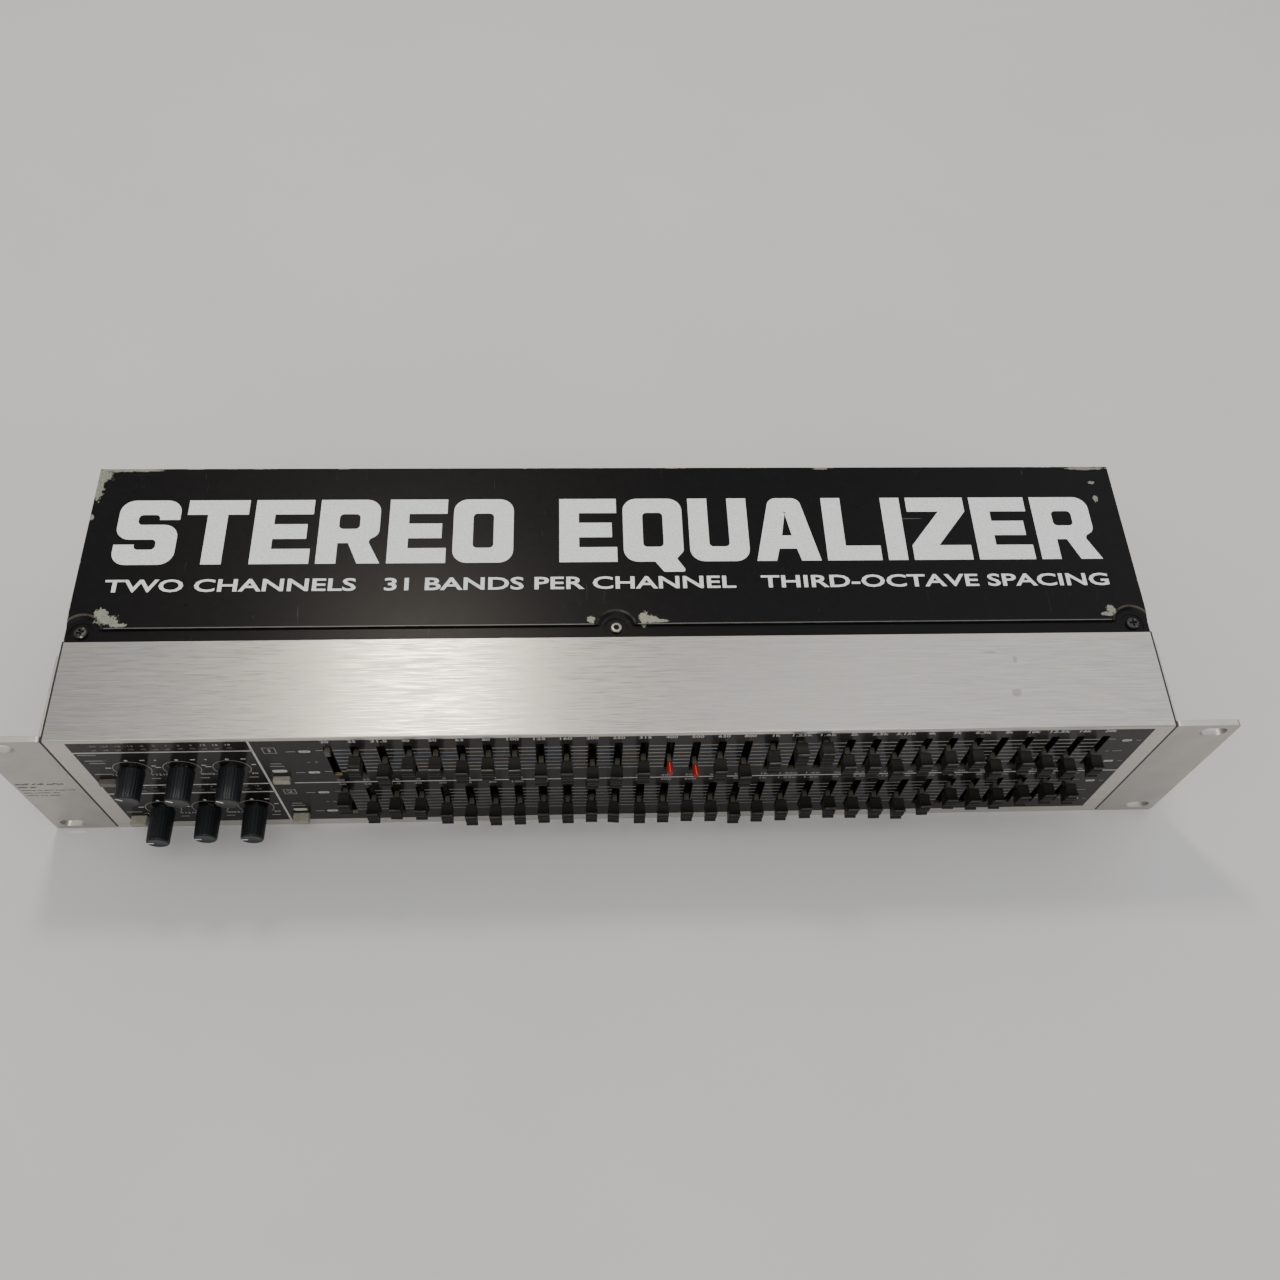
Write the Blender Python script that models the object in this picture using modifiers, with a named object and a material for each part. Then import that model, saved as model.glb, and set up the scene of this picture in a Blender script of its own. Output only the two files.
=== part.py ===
"""A stereo 31-band graphic equalizer for a 19-inch rack, two units high, built from its separate parts.

The front panel's outer face is the plane y = 0 of the empty "front_plane", which every part hangs from.
x runs to the right, y to the back and z up. All lengths are in metres.
"""

import math

import bmesh
import bpy
from mathutils import Matrix, Vector

# Driving dimensions of the case.
RACK_WIDTH = 0.4826
HEIGHT = 0.0881
PANEL_WIDTH = 0.4306
LID_WIDTH = 0.4314
DEPTH = 0.1256
GAP = 0.0003

PANEL_SHEET = 0.0015
STEEL_SHEET = 0.0012
EAR_SHEET = 0.0026
TOP_STRIP_DEPTH = 0.0422
FOLD_RADIUS = 0.0013
PANEL_UNDERSIDE = HEIGHT - PANEL_SHEET

# The lid's lowered front edge, its three screws and the round dishes that they sit in.
LID_FRONT = TOP_STRIP_DEPTH + GAP
LID_STEP = 0.0012
LID_LOW_TOP = HEIGHT - LID_STEP
LID_UNDERSIDE = LID_LOW_TOP - STEEL_SHEET
LID_STEP_Y = 0.0480
LID_SIDE_START = 0.0260
LID_WALL_FOOT = 0.0020
DISH_RADIUS = 0.0080
SCREW_Y = 0.0468
SCREW_X = {"lid_screw_left": -0.2097, "lid_screw_middle": -0.0012, "lid_screw_right": 0.2092}
SCREW_HEAD_RADIUS = 0.0026
SCREW_HEAD_TOP = 0.0879
SCREW_SHANK_RADIUS = 0.0014
SCREW_TIP = 0.0785
SCREW_HOLE_RADIUS = 0.0018
RAIL_TOP = 0.0846
RAIL_BACK = 0.0520
TRAY_FLANGE = 0.0180
FRONT_FLANGE = 0.0065

# Thirty-one sliders a channel, each with 20 mm of travel in a 27 mm slot.
BANDS = ("20", "25", "31_5", "40", "50", "63", "80", "100", "125", "160", "200", "250", "315", "400",
         "500", "630", "800", "1k", "1k25", "1k6", "2k", "2k5", "3k15", "4k", "5k", "6k3", "8k", "10k",
         "12k5", "16k", "20k")
BAND_X0 = -0.1123
BAND_PITCH = 0.0101
CHANNEL_Z = (0.0668, 0.0263)
SLOT_WIDTH = 0.0030
SLOT_LENGTH = 0.0270
SLOT_DROP = 0.0005
LEVER = (0.0021, 0.0040)
LEVER_FRONT = 0.0030
LEVER_BACK = 0.0049
CAP_WIDTH = 0.0046
CAP_HEIGHT = 0.0100
CAP_BACK = 0.0020
CAP_FRONT = 0.0084
LINK_BAR_Y = (0.0019, 0.0032)
LINK_BAR_HEIGHT = 0.0030

# Where each slider stands, in millimetres above the middle of its travel.
SETTINGS = (
    (10, 5, -2, 4, 4, -0.5, 2.5, 2.5, -3.5, -2, -7.5, -7, -3, -3, -6, -2,
     -8, 5, 10, 10, 0.5, -0.5, -5.5, 1, 1.5, 3.5, -6.5, 1, -3.5, -7, -4),
    (9.5, -0.5, 3.5, 2.5, -2.5, -5, -5.5, -5, -3.5, -4.5, -3.5, -4.5, -6, -5.5, -4.5, -5,
     -8, -6.5, -5.5, -3.5, -3.5, -4, -5, -6, -2, 4.5, 3, 3.5, 6, 8, 7),
)
# Sliders of channel 1 that have lost their cap, with how far the bare lever stands out of the panel.
BARE_LEVERS = {"20": 0.0018, "400": 0.0072, "500": 0.0072}
RED_LEVERS = ("400", "500")
# Channel 2's sliders move in five linked banks of neighbours: the first band of each, and the end.
BANKS = (0, 5, 12, 18, 24, 31)

KNOB_X0 = -0.1902
KNOB_PITCH = 0.0191
KNOB_Z = (0.0617, 0.0211)
KNOB_RADIUS = 0.0052
KNOB_FRONT = 0.0158
KNOB_BACK = 0.0010
SHAFT_RADIUS = 0.0030
SHAFT_HOLE_RADIUS = 0.0035
SHAFT_BACK = 0.0077

BUTTON_X = {"limiter": -0.2028, "bypass": -0.1350}
BUTTON_Z = (0.0508, 0.0113)
BUTTON_SIZE = (0.0066, 0.0030)
BUTTON_OUT = 0.0040
BUTTON_LATCHED = 0.0018
BUTTON_LENGTH = 0.0094
BUTTON_PLAY = 0.0003

# Rack slots, on the standard two-unit spacing.
RACK_SLOT_X = 0.23255
RACK_SLOT_Z = (0.00595, 0.08215)
RACK_SLOT = (0.0106, 0.0065)
EAR_LEG_SHEET = 0.0020
EAR_LEG_DEPTH = 0.0380
EAR_LEG_INSET = 0.0030

# Electronics behind the panel.
FADER_BOARD_Y = (0.0120, 0.0136)
FADER_BOARD_X = (-0.1220, 0.2020)
POT_CASE = (0.0076, 0.0052, 0.0300)
CONTROL_BOARD_Y = (0.0140, 0.0156)
CONTROL_BOARD_X = (-0.2090, -0.1260)
ROTARY_CASE = (0.0096, 0.0080)
SWITCH_CASE = (0.0076, 0.0060)
SWITCH_CASE_Z = (0.0508, 0.0133)
BOARD_Z = (0.0080, 0.0830)

# Sockets in the rear wall.
JACK_BOARD_X = (-0.2050, -0.0120)
JACK_BOARD_Y = (0.0850, 0.1200)
JACK_BOARD_Z = (0.0140, 0.0156)
SOCKET_Z = 0.0320
ROUND_INPUTS = (-0.1880, -0.0980)
ROUND_OUTPUTS = (-0.1400, -0.0500)
ROUND_SOCKETS = ROUND_INPUTS + ROUND_OUTPUTS
ROUND_SOCKET_RADIUS = 0.0117
ROUND_HOUSING = (0.0250, 0.0980)
ROUND_SOCKET_BORE = 0.0095
ROUND_SOCKET_DEPTH = 0.0140
ROUND_INSERT_RADIUS = 0.0079
ROUND_INSERT_RECESS = 0.0010
JACK_X = (-0.1640, -0.1160, -0.0740, -0.0260)
JACK_HOUSING = (0.0150, 0.0960)
JACK_BUSH_RADIUS = 0.0052
JACK_BUSH_REACH = 0.0016
JACK_BORE_RADIUS = 0.0033
JACK_BORE_DEPTH = 0.0250

INLET_X = 0.1650
INLET_Z = 0.0430
INLET_FLANGE = (0.0310, 0.0580, 0.0017)
INLET_BODY = (0.0270, 0.0480)
INLET_BODY_FRONT = 0.1040
INLET_CAVITY = (0.0240, 0.0160, 0.0160)
ROCKER_CAVITY = (0.0136, 0.0200, 0.0112)
ROCKER_RISE = 0.0130
ROCKER_WIDTH = 0.0128
ROCKER_TILT = math.radians(12)
ROCKER_AXIS_Y = 0.12143
# The rocker's outline about its axis: its ends and hollow face stand back of the axis, its root before it.
ROCKER_FACE = (0.0062, 0.0082)
ROCKER_HOLLOW = 0.0010
ROCKER_ROOT = (-0.0020, 0.0075)
ROCKER_REACH = 0.0036

TRANSFORMER_PLACE = (0.0900, 0.0750)
TRANSFORMER_RADII = (0.0120, 0.0340)
TRANSFORMER_HEIGHT = 0.0320
WINDING_SIDES = 8

# Half of the whole depth, from the knobs to the raised edge of the rocker, puts the origin in the middle.
FRONT_Y = KNOB_FRONT - (KNOB_FRONT + DEPTH + ROCKER_REACH) / 2
SIDE = LID_WIDTH / 2
TRAY_SIDE = SIDE - STEEL_SHEET - 2 * GAP
BACK_INSIDE = DEPTH - STEEL_SHEET
# A cutter reaches this far past the faces that it cuts.
PAST = 0.0010


def clear_scene():
    for old in list(bpy.data.objects):
        bpy.data.objects.remove(old, do_unlink=True)


def new_collection(name):
    made = bpy.data.collections.new(name)
    bpy.context.scene.collection.children.link(made)
    return made


def new_material(name, colour, roughness, metallic=0.0):
    made = bpy.data.materials.new(name)
    made.use_nodes = True
    shader = made.node_tree.nodes["Principled BSDF"]
    shader.inputs["Base Color"].default_value = (*colour, 1.0)
    shader.inputs["Roughness"].default_value = roughness
    shader.inputs["Metallic"].default_value = metallic
    return made


def add_box(bm, low, high):
    """A box between its lowest and its highest corner."""
    size = [top - bottom for bottom, top in zip(low, high)]
    middle = [(top + bottom) / 2 for bottom, top in zip(low, high)]
    bmesh.ops.create_cube(bm, size=1.0, matrix=Matrix.Translation(middle) @ Matrix.Diagonal((*size, 1.0)))


def add_rod(bm, radius, start, end, segments=16):
    """A round rod from start to end."""
    along = Vector(end) - Vector(start)
    turn = Vector((0.0, 0.0, 1.0)).rotation_difference(along).to_matrix().to_4x4()
    middle = (Vector(start) + Vector(end)) / 2
    bmesh.ops.create_cone(bm, cap_ends=True, segments=segments, radius1=radius, radius2=radius,
                          depth=along.length, matrix=Matrix.Translation(middle) @ turn)


def shape_mesh(name, boxes=(), rods=()):
    """A mesh of boxes (low, high) and rods (radius, start, end[, segments])."""
    bm = bmesh.new()
    for low, high in boxes:
        add_box(bm, low, high)
    for rod in rods:
        add_rod(bm, *rod)
    mesh = bpy.data.meshes.new(name)
    bm.to_mesh(mesh)
    bm.free()
    return mesh


def place(obj, collection, location=(0.0, 0.0, 0.0)):
    """Hangs an object from the front plane."""
    collection.objects.link(obj)
    obj.parent = front_plane
    obj.location = location
    return obj


def part(name, material, boxes=(), rods=(), location=(0.0, 0.0, 0.0)):
    """A part of the equalizer that starts as one box or one rod."""
    mesh = shape_mesh(name, boxes, rods)
    mesh.materials.append(material)
    return place(bpy.data.objects.new(name, mesh), parts, location)


def change(target, operation, boxes=(), rods=()):
    """Cuts shapes from a part, or joins them to it. The shapes of one call don't touch each other."""
    name = f"{target.name}_{operation.lower()}_{len(target.modifiers)}"
    tool = place(bpy.data.objects.new(name, shape_mesh(name, boxes, rods)), tools, target.location)
    tool.hide_render = True
    tool.display_type = "WIRE"
    modifier = target.modifiers.new(name, "BOOLEAN")
    modifier.operation = operation
    modifier.solver = "EXACT"
    modifier.object = tool


def join(target, boxes=(), rods=()):
    change(target, "UNION", boxes, rods)


def cut(target, boxes=(), rods=()):
    change(target, "DIFFERENCE", boxes, rods)


def box_at(x, z, width, height, y_low, y_high):
    """The corners of a box that is centred on (x, z) and runs from y_low to y_high."""
    return ((x - width / 2, y_low, z - height / 2), (x + width / 2, y_high, z + height / 2))


def outline_part(name, material, points, half_width, location=(0.0, 0.0, 0.0)):
    """A part with one outline in the y-z plane, extruded along x to both sides."""
    curve = bpy.data.curves.new(name, "CURVE")
    curve.dimensions = "2D"
    curve.fill_mode = "BOTH"
    curve.extrude = half_width
    spline = curve.splines.new("POLY")
    spline.points.add(len(points) - 1)
    for point, (y, z) in zip(spline.points, points):
        point.co = (y, z, 0.0, 1.0)
    spline.use_cyclic_u = True
    outline = bpy.data.objects.new(f"{name}_outline", curve)
    tools.objects.link(outline)
    bpy.context.view_layer.update()
    mesh = bpy.data.meshes.new_from_object(outline.evaluated_get(bpy.context.evaluated_depsgraph_get()))
    bpy.data.objects.remove(outline, do_unlink=True)
    bm = bmesh.new()
    bm.from_mesh(mesh)
    bmesh.ops.remove_doubles(bm, verts=bm.verts, dist=1e-6)
    x_y_z_to_y_z_x = Matrix(((0, 0, 1, 0), (1, 0, 0, 0), (0, 1, 0, 0), (0, 0, 0, 1)))
    bmesh.ops.transform(bm, matrix=x_y_z_to_y_z_x, verts=bm.verts)
    bmesh.ops.recalc_face_normals(bm, faces=bm.faces)
    bm.to_mesh(mesh)
    bm.free()
    mesh.name = name
    mesh.materials.clear()
    mesh.materials.append(material)
    return place(bpy.data.objects.new(name, mesh), parts, location)


def band_x(band):
    return BAND_X0 + BAND_PITCH * band


def slider_z(channel, band):
    return CHANNEL_Z[channel] + SETTINGS[channel][band] / 1000


def knob_places():
    return [(KNOB_X0 + KNOB_PITCH * column, z) for z in KNOB_Z for column in range(3)]


def front_panel():
    """The brushed sheet that makes the face and the front strip of the top, folded in one piece."""
    fold = [(FOLD_RADIUS * (1 - math.sin(turn)), HEIGHT - FOLD_RADIUS * (1 - math.cos(turn)))
            for turn in (math.radians(30 * step) for step in range(4))]
    inside = [(TOP_STRIP_DEPTH, PANEL_UNDERSIDE), (PANEL_SHEET, PANEL_UNDERSIDE), (PANEL_SHEET, 0.0)]
    outline = [(0.0, 0.0), *reversed(fold), (TOP_STRIP_DEPTH, HEIGHT), *inside]
    panel = outline_part("front_panel", aluminium, outline, PANEL_WIDTH / 2)
    reach = (-PAST, PANEL_SHEET + PAST)
    cut(panel, boxes=[box_at(band_x(band), z - SLOT_DROP, SLOT_WIDTH, SLOT_LENGTH, *reach)
                      for z in CHANNEL_Z for band in range(len(BANDS))])
    cut(panel, rods=[(SHAFT_HOLE_RADIUS, (x, reach[0], z), (x, reach[1], z))
                     for x, z in knob_places()])
    button_hole = [size + 2 * BUTTON_PLAY for size in BUTTON_SIZE[:2]]
    cut(panel, boxes=[box_at(x, z, *button_hole, *reach)
                      for x in BUTTON_X.values() for z in BUTTON_Z])


def rack_ear(name, side):
    """An angle bracket with two open rack slots, bolted to the side of the case."""
    inner = side * (PANEL_WIDTH / 2 + 2 * GAP)
    outer = side * RACK_WIDTH / 2
    flange = ((min(inner, outer), 0.0, 0.0), (max(inner, outer), EAR_SHEET, HEIGHT))
    ear = part(name, aluminium, boxes=[flange])
    leg_inner = side * (SIDE + GAP)
    leg_outer = leg_inner + side * EAR_LEG_SHEET
    join(ear, boxes=[((min(leg_inner, leg_outer), EAR_SHEET / 2, EAR_LEG_INSET),
                      (max(leg_inner, leg_outer), EAR_LEG_DEPTH, HEIGHT - EAR_LEG_INSET))])
    half = (RACK_SLOT[0] - RACK_SLOT[1]) / 2
    x = side * RACK_SLOT_X
    for z in RACK_SLOT_Z:
        cut(ear, boxes=[box_at(x, z, 2 * half, RACK_SLOT[1], -PAST, EAR_SHEET + PAST)])
        for end in (x - half, x + half):
            cut(ear, rods=[(RACK_SLOT[1] / 2, (end, -PAST, z), (end, EAR_SHEET + PAST, z))])


def top_cover():
    """The painted lid with its two side walls, a lowered front edge and a dish round each screw."""
    lid = part("top_cover", black_paint, boxes=[((-SIDE, LID_FRONT, LID_LOW_TOP), (SIDE, DEPTH, HEIGHT))])
    for side in (-1, 1):
        low, high = sorted((side * SIDE, side * (SIDE - STEEL_SHEET)))
        beside_strip = (high, LID_FRONT + PAST, PANEL_UNDERSIDE - GAP)
        join(lid, boxes=[((low, LID_FRONT, LID_WALL_FOOT), (high, DEPTH, HEIGHT))])
        join(lid, boxes=[((low, LID_SIDE_START, LID_WALL_FOOT), beside_strip)])
    shelf_back = LID_STEP_Y + STEEL_SHEET
    join(lid, boxes=[((-SIDE, LID_FRONT, LID_UNDERSIDE), (SIDE, shelf_back, HEIGHT))])
    outer = DISH_RADIUS + STEEL_SHEET
    above = HEIGHT + PAST
    below = LID_UNDERSIDE - PAST
    join(lid, rods=[(outer, (x, SCREW_Y, LID_UNDERSIDE), (x, SCREW_Y, HEIGHT), 24)
                    for x in SCREW_X.values()])
    cut(lid, boxes=[((-SIDE - PAST, 0.0, LID_LOW_TOP), (SIDE + PAST, LID_STEP_Y, above))])
    for x in SCREW_X.values():
        cut(lid, rods=[(DISH_RADIUS, (x, SCREW_Y, LID_LOW_TOP), (x, SCREW_Y, above), 24)])
        cut(lid, rods=[(SCREW_HOLE_RADIUS, (x, SCREW_Y, below), (x, SCREW_Y, above), 12)])
    # Trims what the dishes' rods leave outside the lid and over the silver strip.
    cut(lid, boxes=[((-SIDE - outer, 0.0, below), (-SIDE, DEPTH, above)),
                    ((SIDE, 0.0, below), (SIDE + outer, DEPTH, above))])
    cut(lid, boxes=[((-SIDE + STEEL_SHEET, LID_SIDE_START, below), (SIDE - STEEL_SHEET, LID_FRONT, above))])
    cut(lid, boxes=[((-SIDE - PAST, 0.0, PANEL_UNDERSIDE - GAP), (SIDE + PAST, LID_FRONT, above))])


def lid_screw(name, x):
    """A pan-head machine screw that holds the lid to the tray's rail."""
    screw = part(name, steel, location=(x, SCREW_Y, 0.0),
                 rods=[(SCREW_HEAD_RADIUS, (0.0, 0.0, LID_LOW_TOP + GAP / 3),
                        (0.0, 0.0, SCREW_HEAD_TOP), 20)])
    shank_top = (0.0, 0.0, LID_LOW_TOP + 2 * GAP)
    join(screw, rods=[(SCREW_SHANK_RADIUS, (0.0, 0.0, SCREW_TIP), shank_top, 12)])


def chassis_tray():
    """The folded steel tray: floor, rear wall, low flanges and a rail under the lid's front edge."""
    front = PANEL_SHEET + GAP
    wide = TRAY_SIDE + PAST
    inside = TRAY_SIDE - STEEL_SHEET
    tray = part("chassis_tray", black_paint,
                boxes=[((-TRAY_SIDE, front, 0.0), (TRAY_SIDE, DEPTH, LID_UNDERSIDE - GAP))])
    hollow_top = RAIL_TOP - STEEL_SHEET
    cut(tray, boxes=[((-inside, front + STEEL_SHEET, STEEL_SHEET), (inside, BACK_INSIDE, hollow_top))])
    cut(tray, boxes=[((-wide, -PAST, RAIL_TOP), (wide, BACK_INSIDE, HEIGHT))])
    cut(tray, boxes=[((-wide, -PAST, TRAY_FLANGE), (wide, LID_FRONT, HEIGHT))])
    cut(tray, boxes=[((-wide, RAIL_BACK, TRAY_FLANGE), (wide, BACK_INSIDE, HEIGHT))])
    cut(tray, boxes=[((-wide, -PAST, FRONT_FLANGE), (wide, front + STEEL_SHEET + PAST, HEIGHT))])
    low, high = RAIL_TOP - 2 * PAST, RAIL_TOP + PAST
    cut(tray, rods=[(SCREW_HOLE_RADIUS, (x, SCREW_Y, low), (x, SCREW_Y, high), 12)
                    for x in SCREW_X.values()])
    before, behind = BACK_INSIDE - PAST, DEPTH + PAST
    cut(tray, rods=[(ROUND_SOCKET_RADIUS + GAP, (x, before, SOCKET_Z), (x, behind, SOCKET_Z))
                    for x in ROUND_SOCKETS])
    cut(tray, rods=[(JACK_BUSH_RADIUS + GAP, (x, before, SOCKET_Z), (x, behind, SOCKET_Z)) for x in JACK_X])
    width, height = INLET_BODY
    cut(tray, boxes=[box_at(INLET_X, INLET_Z, width + 2 * GAP, height + 2 * GAP, before, behind)])


def lever_box(x, z, reach):
    """A slider's lever, which stands out of the panel by reach."""
    return box_at(x, z, *LEVER, -reach, LEVER_BACK)


def cap_box(x, z):
    return box_at(x, z, CAP_WIDTH, CAP_HEIGHT, -CAP_FRONT, -CAP_BACK)


def channel_1_fader(band):
    """One slider: its lever through the panel, and the cap where it still has one."""
    bare = BARE_LEVERS.get(BANDS[band])
    colour = red_plastic if BANDS[band] in RED_LEVERS else black_plastic
    fader = part(f"ch1_fader_{BANDS[band]}hz", colour, boxes=[lever_box(0.0, 0.0, bare or LEVER_FRONT)],
                 location=(band_x(band), 0.0, slider_z(0, band)))
    if not bare:
        join(fader, boxes=[cap_box(0.0, 0.0)])


def channel_2_bank(number):
    """Neighbouring sliders of channel 2 on one bar behind the panel."""
    first, end = BANKS[number], BANKS[number + 1]
    levels = [slider_z(1, band) for band in range(first, end)]
    low, high = min(levels), max(levels)
    x_low, x_high = band_x(first), band_x(end - 1)
    middle_x, middle_z = (x_low + x_high) / 2, (low + high) / 2
    bar = box_at(0.0, 0.0, x_high - x_low + LEVER[0], high - low + LINK_BAR_HEIGHT, *LINK_BAR_Y)
    bank = part(f"ch2_faders_{BANDS[first]}_to_{BANDS[end - 1]}hz", black_plastic,
                boxes=[bar], location=(middle_x, 0.0, middle_z))
    for band in range(first, end):
        x, z = band_x(band) - middle_x, slider_z(1, band) - middle_z
        join(bank, boxes=[lever_box(x, z, LEVER_FRONT)])
        join(bank, boxes=[cap_box(x, z)])


def control_knob(name, x, z):
    """A long round knob on its potentiometer's shaft."""
    knob = part(name, black_plastic, location=(x, 0.0, z),
                rods=[(KNOB_RADIUS, (0.0, -KNOB_FRONT, 0.0), (0.0, -KNOB_BACK, 0.0), 24)])
    join(knob, rods=[(SHAFT_RADIUS, (0.0, -2 * KNOB_BACK, 0.0), (0.0, SHAFT_BACK, 0.0), 12)])


def push_button(name, x, z, pressed):
    """A latching push button: pressed is how far it stands in from its free position."""
    front = -BUTTON_OUT + pressed
    part(name, beige_plastic, boxes=[box_at(0.0, 0.0, *BUTTON_SIZE, front, front + BUTTON_LENGTH)],
         location=(x, 0.0, z))


def fader_board():
    """The upright circuit board with its 62 slide potentiometers."""
    width, front, length = POT_CASE
    board = part("fader_board", circuit_board,
                 boxes=[((FADER_BOARD_X[0], FADER_BOARD_Y[0], BOARD_Z[0]),
                         (FADER_BOARD_X[1], FADER_BOARD_Y[1], BOARD_Z[1]))])
    for z in CHANNEL_Z:
        join(board, boxes=[box_at(band_x(band), z, width, length, front, FADER_BOARD_Y[0] + GAP)
                           for band in range(len(BANDS))])


def control_board():
    """The upright circuit board with the six rotary potentiometers and four push switches."""
    board = part("control_board", circuit_board,
                 boxes=[((CONTROL_BOARD_X[0], CONTROL_BOARD_Y[0], BOARD_Z[0]),
                         (CONTROL_BOARD_X[1], CONTROL_BOARD_Y[1], BOARD_Z[1]))])
    side, front = ROTARY_CASE
    back = CONTROL_BOARD_Y[0] + GAP
    join(board, boxes=[box_at(x, z, side, side, front, back) for x, z in knob_places()])
    join(board, boxes=[box_at(x, z, *SWITCH_CASE, front, back)
                       for x in BUTTON_X.values() for z in SWITCH_CASE_Z])


def socket_housing(x, width, front):
    """The square housing of a socket, from the jack board up, behind the rear wall's inner face."""
    half = width / 2
    return ((x - half, front, JACK_BOARD_Z[0] + GAP), (x + half, BACK_INSIDE - GAP, SOCKET_Z + half))


def socket_rod(radius, x, front, back):
    return (radius, (x, front, SOCKET_Z), (x, back, SOCKET_Z))


def jack_board():
    """The flat circuit board that carries the round and the jack sockets of the rear wall."""
    board = part("jack_board", circuit_board,
                 boxes=[((JACK_BOARD_X[0], JACK_BOARD_Y[0], JACK_BOARD_Z[0]),
                         (JACK_BOARD_X[1], JACK_BOARD_Y[1], JACK_BOARD_Z[1]))])
    nose = BACK_INSIDE - GAP - PAST
    bush_end = DEPTH + JACK_BUSH_REACH
    bore_bottom = DEPTH - ROUND_SOCKET_DEPTH
    jack_bottom = DEPTH - JACK_BORE_DEPTH
    insert_face = DEPTH - ROUND_INSERT_RECESS
    join(board, boxes=[socket_housing(x, *ROUND_HOUSING) for x in ROUND_SOCKETS])
    join(board, boxes=[socket_housing(x, *JACK_HOUSING) for x in JACK_X])
    join(board, rods=[socket_rod(ROUND_SOCKET_RADIUS, x, nose, DEPTH) for x in ROUND_SOCKETS])
    join(board, rods=[socket_rod(JACK_BUSH_RADIUS, x, nose, bush_end) for x in JACK_X])
    cut(board, rods=[socket_rod(ROUND_SOCKET_BORE, x, bore_bottom, DEPTH + PAST) for x in ROUND_SOCKETS])
    join(board, rods=[socket_rod(ROUND_INSERT_RADIUS, x, bore_bottom - PAST, insert_face)
                      for x in ROUND_INPUTS])
    cut(board, rods=[socket_rod(JACK_BORE_RADIUS, x, jack_bottom, bush_end + PAST) for x in JACK_X])


def mains_inlet():
    """The mains inlet and the frame of the power switch, in one moulding."""
    width, height, sheet = INLET_FLANGE
    face = DEPTH + GAP + sheet
    flange = box_at(INLET_X, INLET_Z, width, height, face - sheet, face)
    inlet = part("mains_inlet", black_plastic, boxes=[flange])
    join(inlet, boxes=[box_at(INLET_X, INLET_Z, *INLET_BODY, INLET_BODY_FRONT, face - GAP)])
    for rise, cavity in ((-ROCKER_RISE, INLET_CAVITY), (ROCKER_RISE, ROCKER_CAVITY)):
        across, up, depth = cavity
        cut(inlet, boxes=[box_at(INLET_X, INLET_Z + rise, across, up, face - depth, face + PAST)])


def power_switch():
    """The rocker of the power switch, tilted to off."""
    face, corner = ROCKER_FACE
    back, root = ROCKER_ROOT
    outline = [(back, -root), (face, -corner), (face - ROCKER_HOLLOW, 0.0), (face, corner), (back, root)]
    rocker = outline_part("power_switch", black_plastic, outline, ROCKER_WIDTH / 2,
                          (INLET_X, ROCKER_AXIS_Y, INLET_Z + ROCKER_RISE))
    rocker.rotation_euler.x = -ROCKER_TILT


def transformer():
    """The toroidal mains transformer on the tray's floor, with an eight-sided section."""
    inner, outer = TRANSFORMER_RADII
    step = 2 * math.pi / WINDING_SIDES
    stretch = 1 / math.cos(step / 2)
    middle_x = (outer + inner) / 2
    middle_z = STEEL_SHEET + GAP + TRANSFORMER_HEIGHT / 2
    bm = bmesh.new()
    ring = []
    for side in range(WINDING_SIDES):
        turn = -step * (side + 0.5)
        across = (outer - inner) / 2 * stretch * math.cos(turn)
        up = TRANSFORMER_HEIGHT / 2 * stretch * math.sin(turn)
        ring.append(bm.verts.new((middle_x + across, 0.0, middle_z + up)))
    for start, end in zip(ring, ring[1:] + ring[:1]):
        bm.edges.new((start, end))
    mesh = bpy.data.meshes.new("transformer")
    bm.to_mesh(mesh)
    bm.free()
    mesh.materials.append(winding)
    coil = place(bpy.data.objects.new("transformer", mesh), parts, (*TRANSFORMER_PLACE, 0.0))
    turned = coil.modifiers.new("turned", "SCREW")
    turned.steps = 24
    turned.render_steps = 24
    turned.use_merge_vertices = True
    turned.merge_threshold = 0.0001


def shade_round_faces():
    """Smooth faces on the round parts, with their sharp edges kept."""
    for obj in parts.objects:
        if obj.type == "MESH":
            obj.data.shade_smooth()
            obj.data.set_sharp_from_angle(angle=math.radians(35))


clear_scene()
parts = new_collection("graphic_equalizer")
tools = new_collection("cutters")
front_plane = bpy.data.objects.new("front_plane", None)
front_plane.location.y = FRONT_Y
parts.objects.link(front_plane)

aluminium = new_material("brushed_aluminium", (0.40, 0.38, 0.36), 0.38, 1.0)
black_paint = new_material("black_paint", (0.012, 0.011, 0.011), 0.30)
steel = new_material("screw_steel", (0.18, 0.17, 0.16), 0.35, 1.0)
black_plastic = new_material("black_plastic", (0.014, 0.015, 0.015), 0.42)
red_plastic = new_material("red_plastic", (0.55, 0.02, 0.01), 0.40)
beige_plastic = new_material("beige_plastic", (0.19, 0.17, 0.12), 0.55)
circuit_board = new_material("circuit_board", (0.03, 0.10, 0.04), 0.50)
winding = new_material("transformer_winding", (0.45, 0.30, 0.05), 0.50)

front_panel()
rack_ear("left_ear", -1)
rack_ear("right_ear", 1)
top_cover()
for screw_name, screw_x in SCREW_X.items():
    lid_screw(screw_name, screw_x)
chassis_tray()
fader_board()
control_board()
jack_board()
mains_inlet()
power_switch()
transformer()
for band_number in range(len(BANDS)):
    channel_1_fader(band_number)
for bank_number in range(len(BANKS) - 1):
    channel_2_bank(bank_number)
for knob_number, (knob_x, knob_z) in enumerate(knob_places()):
    control_knob(f"ch{knob_number // 3 + 1}_knob_{knob_number % 3 + 1}", knob_x, knob_z)
for button_kind, button_x in BUTTON_X.items():
    for channel_number, button_z in enumerate(BUTTON_Z):
        inward = BUTTON_LATCHED if channel_number == 0 else 0.0
        push_button(f"ch{channel_number + 1}_{button_kind}_button", button_x, button_z, inward)
shade_round_faces()
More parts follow.
